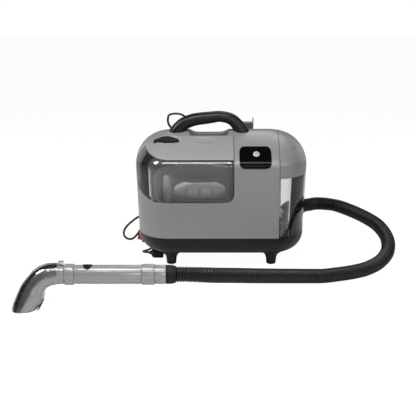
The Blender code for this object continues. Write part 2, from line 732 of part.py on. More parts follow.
def hose_elbow():
    end, heading = elbow_end()
    foot = Vector((*ELBOW_FOOT, 0.0))
    line = [foot + Vector((0, 0, BASE_TOP + GAP))]
    centre = foot + heading * ELBOW_TURN + Vector((0, 0, ELBOW_HEIGHT - ELBOW_TURN))
    for k in range(7):
        turn = math.pi / 2 * k / 6
        line.append(centre - heading * ELBOW_TURN * math.cos(turn)
                    + Vector((0, 0, ELBOW_TURN * math.sin(turn))))
    line.append(end)
    side = Vector((-heading.y, heading.x, 0.0))
    outer, inner = [], []
    for i, point in enumerate(line):
        run = (line[min(i + 1, len(line) - 1)] - line[max(i - 1, 0)]).normalized()
        if i == 0:
            run = Vector((0, 0, 1))
        up = run.cross(side)
        outer.append(oval(point, side, up, 0.0180, 0.0180, 20))
        inner.append(oval(point, side, up, 0.0150, 0.0150, 20))
    add_piece("hose_elbow", loft(outer + inner[::-1], closed=True), "black_plastic")


def hose_cuff():
    end, heading = elbow_end()
    profile = [(0.0196, 0.0), (0.0202, 0.003), (0.0202, 0.014), (0.0186, CUFF_LENGTH),
               (0.0130, CUFF_LENGTH), (0.0130, 0.0)]
    add_piece("hose_cuff", turned(end + heading * GAP, heading, profile, 24, closed=True),
              "black_rubber")
    return end + heading * (CUFF_LENGTH + 3 * GAP), heading


def hose(start, heading):
    route = [
        start, start + heading * 0.020, start + heading * 0.045, (0.2980, 0.1360, 0.1000),
        (0.3340, 0.1105, 0.0930), (0.3700, 0.0660, 0.0840), (0.3960, 0.0120, 0.0745),
        (0.4080, -0.0500, 0.0590), (0.4020, -0.1020, 0.0410), (0.3780, -0.1450, 0.0270),
        (0.3430, -0.1790, 0.0195), (0.3060, -0.2030, 0.0174), (0.2700, -0.2200, 0.0172),
        (0.2350, -0.2360, 0.0178), (0.2000, -0.2540, 0.0227), (0.1650, -0.2760, 0.0294),
        (0.1200, -0.3053, 0.0384), (0.0700, -0.3377, 0.0486), (0.0250, -0.3665, 0.0580),
        (-0.0200, -0.3930, 0.0664), (-0.0450, -0.4015, 0.0699), (-0.0700, -0.4048, 0.0717),
        (-0.0850, TOOL_Y, TOOL_Z),
        (-0.0991, TOOL_Y, TOOL_Z),
    ]
    tube("hose", smooth_route(route, 44), HOSE_RADIUS, "black_rubber", 3)


# ---------------------------------------------------------------- mains cord

def stadium(inner, low_z, high_z, steps=10):
    """Outline of a long loop round the two cord hooks."""
    points = []
    for k in range(steps + 1):
        turn = math.pi + math.pi * k / steps
        points.append((COIL_X + inner * math.cos(turn), low_z + inner * math.sin(turn)))
    for k in range(steps + 1):
        turn = math.pi * k / steps
        points.append((COIL_X + inner * math.cos(turn), high_z + inner * math.sin(turn)))
    return points


def cord_coil():
    rings = []
    for radius, y in (
        (COIL_OUTER, COIL_FRONT), (COIL_OUTER, COIL_BACK),
        (COIL_INNER, COIL_BACK), (COIL_INNER, COIL_FRONT),
    ):
        rings.append([(x, y, z) for x, z in stadium(radius, COIL_LOW, COIL_HIGH)])
    add_piece("cord_coil", loft(rings, closed=True), "black_rubber")


def cord_gland():
    box = add_piece("cord_gland", block((-0.1250, 0.1153, 0.0850), (-0.1050, 0.1340, 0.1050),
                                        0.0020), "black_rubber")
    relief = turned((-0.1060, 0.1250, 0.0950), (1, 0, 0),
                    [(0.0070, 0.0), (0.0062, 0.006), (0.0042, 0.0260)], 14)
    return join(box, add_cutter("strain_relief", relief))


def mains_lead():
    """From the gland to the outer turn of the winding."""
    radius = COIL_OUTER + CORD_RADIUS + 3 * GAP
    route = [(-0.0797, 0.1250, 0.0950), (-0.0680, 0.1250, 0.0958), (-0.0540, 0.1250, 0.1000)]
    for k in range(1, 6):
        turn = -math.pi / 2 + math.pi / 2 * (k - 1) / 4
        route.append((COIL_X + radius * math.cos(turn), 0.1250, COIL_LOW + radius * math.sin(turn)))
    route.append((COIL_X + radius, 0.1250, 0.160))
    tube("mains_lead", smooth_route(route, 14), CORD_RADIUS, "black_rubber", 2)


def cord_tail():
    """From the winding over the top edge, down round the left end and under the base."""
    route = [
        (-0.0430, 0.1380, 0.2857), (-0.0620, 0.1340, 0.2880), (-0.0850, 0.1230, 0.2945),
        (-0.1080, 0.1075, 0.3020), (-0.1250, 0.0965, 0.3100), (-0.1335, 0.0910, 0.3240),
        (-0.1335, 0.0900, 0.3390), (-0.1290, 0.0890, 0.3455), (-0.1120, 0.0885, 0.3480),
        (-0.0960, 0.0885, 0.3440), (-0.0860, 0.0905, 0.3330), (-0.0880, 0.0950, 0.3170), (-0.0960, 0.1060, 0.2960), (-0.1180, 0.1230, 0.2650),
        (-0.1450, 0.1280, 0.2200), (-0.1640, 0.1250, 0.1650), (-0.1800, 0.1150, 0.1180),
        (-0.1990, 0.0980, 0.0880), (-0.2230, 0.0830, 0.0735), (-0.2430, 0.0790, 0.0560),
        (-0.2510, 0.0800, 0.0380), (-0.2440, 0.0820, 0.0240), (-0.2300, 0.0860, 0.0210),
        (-0.2180, 0.0930, 0.0300), (-0.2090, 0.1010, 0.0420), (-0.1960, 0.1110, 0.0480),
        (-0.1800, 0.1200, 0.0400), (-0.1700, 0.1220, 0.0220), (-0.1700, 0.1100, 0.0075),
        (-0.1740, 0.0850, 0.0032), (-0.1860, 0.0550, 0.0032), (-0.1975, 0.0260, 0.0045),
        (-0.2020, 0.0000, 0.0085), (-0.1910, -0.0120, 0.0119), (-0.1792, -0.0130, 0.0120),
    ]
    tube("cord_tail", smooth_route(route, 78), CORD_RADIUS, "black_rubber", 2)


def mains_plug():
    """A flat two-pin plug lying on the floor, pins towards the right."""
    sections = [(0.0042, 0.0042, -0.1785), (0.0055, 0.0050, -0.1740), (0.0150, 0.0100, -0.1710),
                (0.0175, 0.0118, -0.1660), (0.0175, 0.0118, -0.1465), (0.0160, 0.0105, -0.1440)]
    rings = [oval((x, -0.0130, 0.0120), (0, 1, 0), (0, 0, 1), wide, high, 20, 3.4)
             for wide, high, x in sections]
    plug = add_piece("mains_plug", loft(rings), "black_rubber")
    for side in (-1, 1):
        pin = turned((-0.1460, -0.0130 + side * 0.0095, 0.0120), (1, 0, 0),
                     [(0.0024, 0.0), (0.0024, 0.0195), (0.0016, 0.0210)], 10)
        join(plug, add_cutter(f"plug_pin_{side}", pin))
    return plug


# ---------------------------------------------------------------- hand tool

def along_tool(name, x_start, profile, finish, steps=24, closed=False, origin=(0, 0, 0)):
    """A turned piece on the tool's axis; its profile runs towards the nozzle."""
    bm = turned((x_start, TOOL_Y, TOOL_Z), (-1, 0, 0), profile, steps, closed)
    return add_piece(name, bm, finish, origin)


def tool_handle():
    bore = TUBE_RADIUS - TUBE_WALL
    along_tool("wand_cuff", -0.0994, [(0.0172, 0.0), (0.0202, 0.0060), (0.0202, 0.0220),
                                      (0.0140, 0.0220), (0.0140, 0.0)], "black_rubber",
               closed=True)
    along_tool("wand_tail_tube", -0.1217, [
        (TUBE_RADIUS, 0.0), (TUBE_RADIUS, 0.0238), (bore, 0.0238), (bore, 0.0)],
        "casing_grey", closed=True)
    along_tool("rear_collar", -0.1458, [
        (0.0212, 0.0), (0.0224, 0.002), (0.0224, 0.0252), (0.0212, 0.0272),
        (bore, 0.0272), (bore, 0.0)], "casing_grey", closed=True)
    wand = along_tool("wand_tube", -0.1733, [
        (TUBE_RADIUS, 0.0), (TUBE_RADIUS, 0.1426), (bore, 0.1426), (bore, 0.0)],
        "casing_grey", closed=True)
    slot = block((-0.2985, TOOL_Y - 0.0062, 0.082), (-0.2765, TOOL_Y + 0.0062, 0.110))
    cut(wand, add_cutter("trigger_slot", slot))
    along_tool("front_collar", -0.3162, [
        (0.0212, 0.0), (0.0228, 0.002), (0.0228, 0.0190), (0.0216, 0.0205),
        (bore, 0.0205), (bore, 0.0)], "casing_grey", closed=True)


def spray_trigger():
    outline = [(-0.2975, 0.0862), (-0.2775, 0.0862), (-0.2775, 0.0930), (-0.2795, 0.0958),
               (-0.2835, 0.0985), (-0.2875, 0.0992), (-0.2915, 0.0985), (-0.2955, 0.0958),
               (-0.2975, 0.0930)]
    body = prism(outline, "y", TOOL_Y - 0.0058, TOOL_Y + 0.0058)
    add_piece("spray_trigger", body, "black_plastic", (-0.2875, TOOL_Y, 0.0900))
    shelf = block((-0.2985, TOOL_Y - 0.0166, 0.0690), (-0.2765, TOOL_Y + 0.0166, 0.0722))
    add_piece("spray_valve", shelf, "black_plastic")
    coil = turned((-0.2875, TOOL_Y, 0.0725), (0, 0, 1),
                  [(0.0036, 0.0), (0.0036, 0.0134), (0.0022, 0.0134), (0.0022, 0.0)], 12,
                  closed=True)
    add_piece("trigger_spring", coil, "steel")


NOZZLE_SPINE = [
    (-0.3372, 0.0720, 0, 0.0195, 0.0195), (-0.3560, 0.0718, 0, 0.0208, 0.0215),
    (-0.3740, 0.0690, 12, 0.0222, 0.0250), (-0.3880, 0.0610, 28, 0.0228, 0.0290),
    (-0.3975, 0.0490, 46, 0.0235, 0.0335), (-0.4040, 0.0360, 58, 0.0262, 0.0380),
    (-0.4120, 0.0200, 66, 0.0262, 0.0415), (-0.4215, 0.0030, 72, 0.0240, 0.0440),
]


def nozzle_ring(section, grow_high, grow_wide, steps=24):
    x, z, tilt, high, wide = section
    lean = math.radians(tilt)
    up = Vector((-math.sin(lean), 0.0, math.cos(lean)))
    return oval((x, TOOL_Y, z), (0, 1, 0), up, wide + grow_wide, high + grow_high, steps, 2.6)


def nozzle():
    outer = [nozzle_ring(section, 0.0, 0.0) for section in NOZZLE_SPINE]
    x, z, tilt, high, wide = NOZZLE_SPINE[-1]
    below = (x - 0.003, z - 0.012, tilt, high, wide)
    body = add_piece("nozzle_body", loft(outer + [nozzle_ring(below, 0.0, 0.0)]),
                     "casing_grey", (-0.3372, TOOL_Y, TOOL_Z))
    inner = [nozzle_ring((-0.30, 0.072, 0, 0.0195, 0.0195), -0.0035, -0.0035)]
    inner += [nozzle_ring(section, -0.0035, -0.0035) for section in NOZZLE_SPINE[1:]]
    lower = (x - 0.008, z - 0.030, tilt, high, wide)
    duct = add_cutter("nozzle_duct", loft(inner + [nozzle_ring(lower, -0.0035, -0.0035)]))
    floor = add_cutter("nozzle_floor", block((-0.6, -0.6, -0.2), (-0.2, -0.2, 0.0005)))
    cut(body, duct, floor)
    shell = NOZZLE_SPINE[1:]
    cover = add_piece("nozzle_cover", loft(
        [nozzle_ring(section, 0.0028, 0.0026) for section in shell]
        + [nozzle_ring(below, 0.0028, 0.0026)]), "clear", (-0.3372, TOOL_Y, TOOL_Z))
    inside = [nozzle_ring(section, 2 * GAP, 2 * GAP) for section in shell]
    inside.insert(0, nozzle_ring((-0.340, 0.0718, 0, 0.0205, 0.0210), GAP, GAP))
    cut(cover, add_cutter("cover_inside", loft(inside + [nozzle_ring(lower, 2 * GAP, 2 * GAP)])))
    spine = [(x - high * math.sin(math.radians(tilt)) * 0.15, z + high * 0.10)
             for x, z, tilt, high, wide in shell]
    back = [(-0.350, spine[0][1])] + spine + [(-0.4290, -0.02), (-0.34, -0.02)]
    cut(cover, floor, add_cutter("cover_back", prism(back, "y", TOOL_Y - 0.06, TOOL_Y + 0.06)))
    return body


def nozzle_details():
    latch = block((-0.3500, TOOL_Y - 0.0060, 0.0944), (-0.3385, TOOL_Y + 0.0060, 0.1010), 0.0014)
    add_piece("nozzle_latch", latch, "black_plastic", (-0.3385, TOOL_Y, 0.0970))
    lip = prism([(-0.3940, 0.0008), (-0.3920, 0.0008), (-0.3860, 0.0085), (-0.3880, 0.0085)], "y",
                TOOL_Y - 0.030, TOOL_Y + 0.030)
    add_piece("squeegee_lip", lip, "black_rubber")
    tip = turned((-0.4050, TOOL_Y, 0.0330), (-0.4, 0, -0.91),
                 [(0.0030, 0.0), (0.0030, 0.006), (0.0016, 0.009)], 12)
    add_piece("spray_tip", tip, "black_plastic")


def build():
    clear_scene()
    trough = trough_cutter()
    base_tray()
    foot_pads()
    front_casing(trough)
    rear_casing(trough)
    dirty_tank()
    dirty_tank_lid()
    leaf_stopper()
    tank_inside()
    clean_tank()
    clean_tank_cap()
    clean_tank_valve()
    carry_handle()
    control_panel()
    power_button()
    rocker_switch()
    vacuum_unit()
    pump_unit()
    cord_hook("cord_hook_upper", COIL_HIGH, True)
    cord_hook("cord_hook_lower", COIL_LOW, False)
    tool_bracket()
    case_screws()
    hose_elbow()
    hose(*hose_cuff())
    cord_coil()
    cord_gland()
    mains_lead()
    cord_tail()
    mains_plug()
    tool_handle()
    spray_trigger()
    nozzle()
    nozzle_details()


build()
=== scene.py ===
import math

import bmesh
import bpy
from mathutils import Matrix, Vector


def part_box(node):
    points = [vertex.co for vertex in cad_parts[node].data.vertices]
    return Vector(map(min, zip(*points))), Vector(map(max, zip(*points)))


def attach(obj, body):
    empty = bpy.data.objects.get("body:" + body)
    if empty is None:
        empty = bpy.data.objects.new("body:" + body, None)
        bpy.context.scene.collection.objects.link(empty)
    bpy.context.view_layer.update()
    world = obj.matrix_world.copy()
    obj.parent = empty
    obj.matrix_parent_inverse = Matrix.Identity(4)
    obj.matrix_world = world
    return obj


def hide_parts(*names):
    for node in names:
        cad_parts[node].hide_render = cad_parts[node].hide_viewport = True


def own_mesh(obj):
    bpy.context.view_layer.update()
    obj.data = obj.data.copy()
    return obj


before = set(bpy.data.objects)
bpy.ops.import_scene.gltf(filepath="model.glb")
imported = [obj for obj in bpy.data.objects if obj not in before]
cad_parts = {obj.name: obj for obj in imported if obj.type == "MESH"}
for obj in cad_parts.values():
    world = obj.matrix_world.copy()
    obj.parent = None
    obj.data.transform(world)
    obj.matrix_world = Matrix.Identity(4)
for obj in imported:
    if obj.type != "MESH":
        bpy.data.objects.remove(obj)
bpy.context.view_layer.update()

# Everything is shaped round the machine's own centre, the middle of its four feet, and moved there last.
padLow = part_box("foot_pad_front_left")[0]
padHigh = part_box("foot_pad_rear_right")[1]
machineAt = Vector(((padLow.x + padHigh.x) / 2, (padLow.y + padHigh.y) / 2, 0.0))

body = {
    "halfLength": 0.210, "halfDepth": 0.115, "endReach": 0.080, "top": 0.3195, "capAt": 0.3192,
    "dome": 0.235, "crease": 0.250, "baseTop": 0.073, "wall": 0.003, "seam": 0.0004,
}
tool = {"y": -0.405, "z": 0.072, "radius": 0.0205, "bore": 0.0175}


def smoothRoute(points, count):
    route = [Vector(p) for p in points]
    ends = [2 * route[0] - route[1]] + route + [2 * route[-1] - route[-2]]
    fine = []
    for i in range(1, len(ends) - 2):
        a, b, c, d = ends[i - 1:i + 3]
        for k in range(24):
            t = k / 24
            fine.append(0.5 * (2 * b + (c - a) * t + (2 * a - 5 * b + 4 * c - d) * t ** 2
                               + (3 * b - a - 3 * c + d) * t ** 3))
    fine.append(route[-1])
    lengths = [0.0]
    for a, b in zip(fine, fine[1:]):
        lengths.append(lengths[-1] + (b - a).length)
    even = []
    k = 0
    for i in range(count):
        target = lengths[-1] * i / (count - 1)
        while k < len(fine) - 2 and lengths[k + 1] < target:
            k += 1
        share = (target - lengths[k]) / (lengths[k + 1] - lengths[k])
        even.append(fine[k].lerp(fine[k + 1], min(share, 1.0)))
    return even


def blendRows(rows, share):
    place = min(share, 0.99999) * (len(rows) - 1)
    i = int(place)
    t = place - i
    a, b, c, d = (rows[min(max(k, 0), len(rows) - 1)] for k in range(i - 1, i + 3))
    return [0.5 * (2 * q + (r - p) * t + (2 * p - 5 * q + 4 * r - s) * t ** 2
                   + (3 * q - p - 3 * r + s) * t ** 3) for p, q, r, s in zip(a, b, c, d)]


def softened(points, reach, steps=3, closed=False):
    rounded = []
    corners = [Vector(p) for p in points]
    for i, corner in enumerate(corners):
        atEnd = i in (0, len(corners) - 1) and not closed
        before = corners[i - 1] - corner
        after = corners[(i + 1) % len(corners)] - corner
        limit = min(reach, before.length * 0.45, after.length * 0.45)
        if atEnd or limit < 0.00003:
            rounded.append(corner)
            continue
        start = corner + before.normalized() * limit
        end = corner + after.normalized() * limit
        for k in range(steps + 1):
            t = k / steps
            rounded.append(start * (1 - t) ** 2 + corner * 2 * t * (1 - t) + end * t ** 2)
    return rounded


def rough(bm):
    bmesh.ops.recalc_face_normals(bm, faces=bm.faces)
    mesh = bpy.data.meshes.new("rough")
    bm.to_mesh(mesh)
    bm.free()
    item = bpy.data.objects.new("rough", mesh)
    bpy.context.scene.collection.objects.link(item)
    return item


def closeUp(bm):
    bmesh.ops.remove_doubles(bm, verts=bm.verts, dist=0.000002)
    rims = [edge for edge in bm.edges if edge.is_boundary]
    if rims:
        bmesh.ops.holes_fill(bm, edges=rims, sides=0)
    return bm


def skin(surface, around, along):
    bm = bmesh.new()
    bmesh.ops.create_grid(bm, x_segments=around, y_segments=along, size=1.0)
    for vert in bm.verts:
        vert.co = surface((vert.co.x + 1) / 2, (vert.co.y + 1) / 2)
    return rough(closeUp(bm))


def turned(profile, centre=(0, 0, 0), axis=(0, 0, 1), steps=48, closed=False, soft=0.0004):
    bm = bmesh.new()
    line = softened([(radius, 0.0, height) for radius, height in profile], soft, 3, closed)
    chain = [bm.verts.new(point) for point in line]
    edges = [bm.edges.new(pair) for pair in zip(chain, chain[1:])]
    if closed:
        edges.append(bm.edges.new((chain[-1], chain[0])))
    bmesh.ops.spin(bm, geom=chain + edges, cent=(0, 0, 0), axis=(0, 0, 1), dvec=(0, 0, 0),
                   angle=2 * math.pi, steps=steps, use_merge=True)
    closeUp(bm)
    turn = Vector((0, 0, 1)).rotation_difference(Vector(axis)).to_matrix().to_4x4()
    bmesh.ops.transform(bm, verts=bm.verts, matrix=Matrix.Translation(centre) @ turn)
    return rough(bm)


def rod(radius, length, centre=(0, 0, 0), axis=(0, 0, 1), steps=48):
    outline = [(0.0, 0.0), (radius, 0.0), (radius, length), (0.0, length)]
    return turned(outline, centre, axis, steps)


def squared(value, power):
    return math.copysign(abs(value) ** power, value)


def block(low, high, bevel=0.0, segments=2, turn=None):
    bm = bmesh.new()
    bmesh.ops.create_cube(bm, size=1.0)
    bmesh.ops.scale(bm, verts=bm.verts, vec=[b - a for a, b in zip(low, high)])
    if bevel:
        bmesh.ops.bevel(bm, geom=bm.edges[:], offset=bevel, segments=segments, affect="EDGES",
                        profile=0.5, material=-1)
    if turn:
        bmesh.ops.rotate(bm, verts=bm.verts, matrix=turn)
    bmesh.ops.translate(bm, verts=bm.verts, vec=[(a + b) / 2 for a, b in zip(low, high)])
    return rough(bm)


def pushed(outline, axis, low, high, soft=0.0, steps=6, bevel=0.0):
    order = {"x": (2, 0, 1), "y": (0, 2, 1), "z": (0, 1, 2)}[axis]
    points = softened(outline, soft, steps, True) if soft else [Vector(p) for p in outline]
    flat = [(p.x, p.y, low) for p in points]
    bm = bmesh.new()
    bm.faces.new([bm.verts.new([spot[k] for k in order]) for spot in flat])
    grown = bmesh.ops.extrude_face_region(bm, geom=bm.faces[:])
    verts = [part for part in grown["geom"] if isinstance(part, bmesh.types.BMVert)]
    bmesh.ops.translate(bm, verts=verts, vec=[(0, 0, high - low)[k] for k in order])
    if bevel:
        rims = [edge for edge in bm.edges if edge.calc_face_angle(0) > 0.9]
        bmesh.ops.bevel(bm, geom=rims, offset=bevel, segments=2, affect="EDGES", profile=0.5,
                        material=-1)
    return rough(bm)


def carve(item, operation, *cutters):
    for cutter in cutters:
        step = item.modifiers.new("carve", "BOOLEAN")
        step.operation = operation
        step.solver = "EXACT"
        step.object = cutter
    bpy.context.view_layer.update()
    ready = item.evaluated_get(bpy.context.evaluated_depsgraph_get())
    shaped = bpy.data.meshes.new_from_object(ready)
    item.modifiers.clear()
    item.data = shaped
    for cutter in cutters:
        bpy.data.objects.remove(cutter)
    return item


def cut(item, *cutters):
    return carve(item, "DIFFERENCE", *cutters)


def keep(item, *cutters):
    return carve(item, "INTERSECT", *cutters)


def join(item, *cutters):
    return carve(item, "UNION", *cutters)


def finished(item, name, look, rides, stands=(), sharp=34):
    bm = bmesh.new()
    bm.from_mesh(item.data)
    bmesh.ops.remove_doubles(bm, verts=bm.verts, dist=0.000001)
    bmesh.ops.translate(bm, verts=bm.verts, vec=machineAt)
    bm.to_mesh(item.data)
    bm.free()
    item.name = name
    item.data.name = name
    item.data.shade_smooth()
    item.data.set_sharp_from_angle(angle=math.radians(sharp))
    item.data.materials.clear()
    item.data.materials.append(look)
    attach(item, rides)
    if stands:
        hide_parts(*stands)
    return item


def newLook(name):
    look = bpy.data.materials.new(name)
    look.use_nodes = True
    nodes = look.node_tree.nodes
    return look, nodes, look.node_tree.links.new, nodes["Principled BSDF"]


def put(nodes, kind, values):
    node = nodes.new("ShaderNode" + kind)
    for socket, value in values.items():
        node.inputs[socket].default_value = value
    return node


def blended(nodes, link, share, first, second):
    mix = nodes.new("ShaderNodeMixShader")
    for source, socket in zip((share, first.outputs[0], second.outputs[0]), mix.inputs):
        link(source, socket)
    return mix


def softEdge(nodes, radius):
    edge = put(nodes, "Bevel", {"Radius": radius})
    edge.samples = 4
    return edge.outputs["Normal"]


def finish(name, colour, roughness, grain=900.0, bump=0.03, drift=0.06, roughDrift=0.06,
           metallic=0.0, specular=0.5, coat=0.0, edge=0.0006, stretch=(1, 1, 1)):
    look, nodes, link, shader = newLook(name)
    for socket, value in (("Metallic", metallic), ("Specular IOR Level", specular),
                          ("Coat Weight", coat), ("Coat Roughness", 0.08)):
        shader.inputs[socket].default_value = value
    place = nodes.new("ShaderNodeTexCoord")
    spread = put(nodes, "Mapping", {"Scale": stretch})
    link(place.outputs["Object"], spread.inputs["Vector"])
    broad = put(nodes, "TexNoise", {"Scale": 14.0, "Detail": 4.0})
    fine = put(nodes, "TexNoise", {"Scale": grain, "Detail": 2.0})
    for noise in (broad, fine):
        link(spread.outputs["Vector"], noise.inputs["Vector"])
    tone = put(nodes, "MapRange", {"To Min": 1 - drift, "To Max": 1 + drift})
    link(broad.outputs["Fac"], tone.inputs["Value"])
    tint = put(nodes, "VectorMath", {0: colour})
    tint.operation = "SCALE"
    link(tone.outputs["Result"], tint.inputs["Scale"])
    link(tint.outputs["Vector"], shader.inputs["Base Color"])
    sheen = put(nodes, "MapRange", {"To Min": max(roughness - roughDrift, 0.02),
                                    "To Max": roughness + roughDrift})
    link(fine.outputs["Fac"], sheen.inputs["Value"])
    link(sheen.outputs["Result"], shader.inputs["Roughness"])
    rise = put(nodes, "Bump", {"Strength": bump, "Distance": 0.0005})
    link(fine.outputs["Fac"], rise.inputs["Height"])
    if edge:
        link(softEdge(nodes, edge), rise.inputs["Normal"])
    link(rise.outputs["Normal"], shader.inputs["Normal"])
    return look


def seeThrough(name, passed, veil, veilShare, roughness=0.03, ior=1.46, edge=0.0005):
    look, nodes, link, shader = newLook(name)
    shader.inputs["Base Color"].default_value = (*veil, 1.0)
    shader.inputs["Roughness"].default_value = 0.4
    clear = put(nodes, "BsdfTransparent", {"Color": (*passed, 1.0)})
    gloss = put(nodes, "BsdfAnisotropic", {"Roughness": roughness})
    place = nodes.new("ShaderNodeTexCoord")
    haze = put(nodes, "TexNoise", {"Scale": 26.0, "Detail": 6.0})
    link(place.outputs["Object"], haze.inputs["Vector"])
    share = put(nodes, "MapRange", {"To Min": veilShare * 0.6, "To Max": veilShare * 1.4})
    link(haze.outputs["Fac"], share.inputs["Value"])
    glance = put(nodes, "Fresnel", {"IOR": ior})
    eased = softEdge(nodes, edge)
    for socket in (gloss.inputs["Normal"], glance.inputs["Normal"]):
        link(eased, socket)
    inside = blended(nodes, link, share.outputs["Result"], clear, shader)
    whole = blended(nodes, link, glance.outputs["Fac"], inside, gloss)
    link(whole.outputs[0], nodes["Material Output"].inputs["Surface"])
    return look


satinGrey = finish("satinGrey", (0.178, 0.178, 0.181), 0.34, grain=1400, bump=0.02, drift=0.03)
lidGrey = finish("lidGrey", (0.225, 0.225, 0.228), 0.24, grain=1400, bump=0.01, drift=0.02,
                 roughDrift=0.02, specular=1.0)
toolGrey = finish("toolGrey", (0.225, 0.225, 0.228), 0.22, grain=1200, bump=0.0, drift=0.01,
                  roughDrift=0.02, specular=1.0)
grainBlack = finish("grainBlack", (0.0055, 0.0055, 0.006), 0.38, grain=700, bump=0.08, specular=0.2)
gripBlack = finish("gripBlack", (0.0030, 0.0030, 0.0034), 0.34, grain=900, bump=0.04, specular=0.28)
dullRubber = finish("dullRubber", (0.0060, 0.0060, 0.0065), 0.52, grain=600, bump=0.08, specular=0.2)
hoseBlack = finish("hoseBlack", (0.0035, 0.0035, 0.004), 0.36, grain=500, bump=0.04, specular=0.3,
                   edge=0.0)
cordBlack = finish("cordBlack", (0.008, 0.008, 0.009), 0.45, grain=700, bump=0.05, specular=0.3,
                   edge=0.0)
panelBlack = finish("panelBlack", (0.002, 0.002, 0.0025), 0.10, grain=300, bump=0.0, drift=0.0,
                    roughDrift=0.02, specular=0.05)
smokedPlastic = seeThrough("smokedPlastic", (0.94, 0.94, 0.945), (0.20, 0.20, 0.205), 0.08, ior=1.34)
clearPlastic = seeThrough("clearPlastic", (0.93, 0.932, 0.935), (0.25, 0.25, 0.255), 0.05)
buttonSilver = finish("buttonSilver", (0.55, 0.55, 0.56), 0.30, grain=900, bump=0.02, metallic=0.4)
switchRed = finish("switchRed", (0.62, 0.040, 0.036), 0.32, grain=800, bump=0.03)
plainSteel = finish("plainSteel", (0.55, 0.55, 0.56), 0.28, grain=260, bump=0.04, metallic=1.0,
                    stretch=(1, 1, 12))
fanMetal = finish("fanMetal", (0.50, 0.50, 0.51), 0.36, grain=400, bump=0.06, metallic=1.0)
filterFoam = finish("filterFoam", (0.05, 0.05, 0.055), 0.92, grain=420, bump=0.8, drift=0.3)
boardGreen = finish("boardGreen", (0.02, 0.12, 0.06), 0.5, grain=300, bump=0.05, drift=0.2)
milkyPlastic = finish("milkyPlastic", (0.34, 0.34, 0.342), 0.40, grain=700, bump=0.04)
insideGrey = finish("insideGrey", (0.27, 0.27, 0.273), 0.45, grain=900, bump=0.03)
paleMesh = finish("paleMesh", (0.48, 0.48, 0.48), 0.50, grain=500, bump=0.05)
print("finishes made")


shot = {"at": (-0.0325, -2.503, 0.701), "pitch": 13.0, "lens": 89.05}
lamps = {
    # name: azimuth to the right, height above the horizon, distance, width, height, power
    "overheadFront": (-3, 62, 1.5, 0.80, 0.16, 10),
    "shoulderStrip": (0, 41, 1.6, 1.10, 0.05, 5),
    "leftSoft": (-72, 42, 1.5, 0.30, 0.5, 12),
    "rightSoft": (56, 34, 1.8, 0.45, 0.9, 6),
    "leftGlint": (-34, 56, 1.7, 0.30, 0.24, 5),
    "leftCard": (-138, 12, 2.2, 1.2, 1.2, 4),
    "rightCard": (138, 12, 2.2, 1.2, 1.2, 4),
    "backRim": (165, 50, 1.9, 1.2, 0.6, 7),
    "frontFill": (10, 14, 2.6, 0.9, 0.5, 12),
}


def makeCamera():
    lens = bpy.data.cameras.new("camera")
    lens.lens = shot["lens"]
    lens.sensor_width = 36.0
    camera = bpy.data.objects.new("camera", lens)
    camera.location = machineAt + Vector(shot["at"])
    camera.rotation_euler = (math.radians(90 - shot["pitch"]), 0.0, 0.0)
    bpy.context.scene.collection.objects.link(camera)
    bpy.context.scene.camera = camera


def makeLamps():
    target = machineAt + Vector((0.0, 0.0, 0.20))
    for name, (azimuth, rise, distance, wide, high, power) in lamps.items():
        lamp = bpy.data.lights.new(name, "AREA")
        lamp.shape = "RECTANGLE"
        lamp.size = wide
        lamp.size_y = high
        lamp.energy = power
        holder = bpy.data.objects.new(name, lamp)
        a, e = math.radians(azimuth), math.radians(rise)
        away = Vector((math.sin(a) * math.cos(e), -math.cos(a) * math.cos(e), math.sin(e)))
        holder.location = target + away * distance
        holder.rotation_euler = away.to_track_quat("Z", "Y").to_euler()
        holder.visible_camera = False
        bpy.context.scene.collection.objects.link(holder)


def paleRoom():
    world = bpy.data.worlds.new("paleRoom")
    world.use_nodes = True
    nodes = world.node_tree.nodes
    link = world.node_tree.links.new
    seen = nodes["Background"]
    seen.inputs["Color"].default_value = (1.0, 1.0, 1.0, 1.0)
    seen.inputs["Strength"].default_value = 1.0
    given = put(nodes, "Background", {"Color": (0.95, 0.97, 1.0, 1.0), "Strength": 0.07})
    path = nodes.new("ShaderNodeLightPath")
    mix = blended(nodes, link, path.outputs["Is Camera Ray"], given, seen)
    link(mix.outputs[0], nodes["World Output"].inputs["Surface"])
    bpy.context.scene.world = world


def paleFloor():
    bm = bmesh.new()
    bmesh.ops.create_circle(bm, cap_ends=True, segments=64, radius=9.0)
    bmesh.ops.translate(bm, verts=bm.verts, vec=machineAt + Vector((0, 0, -0.0004)))
    floor = rough(bm)
    floor.name = "floor"
    look, nodes, link, shader = newLook("paleFloor")
    shader.inputs["Base Color"].default_value = (0.82, 0.82, 0.82, 1.0)
    shader.inputs["Roughness"].default_value = 0.8
    shader.inputs["Specular IOR Level"].default_value = 0.1
    glow = put(nodes, "Emission", {"Strength": 1.07})
    path = nodes.new("ShaderNodeLightPath")
    share = put(nodes, "MapRange", {"To Max": 0.90})
    link(path.outputs["Is Camera Ray"], share.inputs["Value"])
    mix = blended(nodes, link, share.outputs["Result"], shader, glow)
    link(mix.outputs[0], nodes["Material Output"].inputs["Surface"])
    floor.data.materials.append(look)


bpy.context.scene.view_settings.view_transform = "Standard"
makeCamera()
makeLamps()
paleRoom()
paleFloor()
print("room ready")


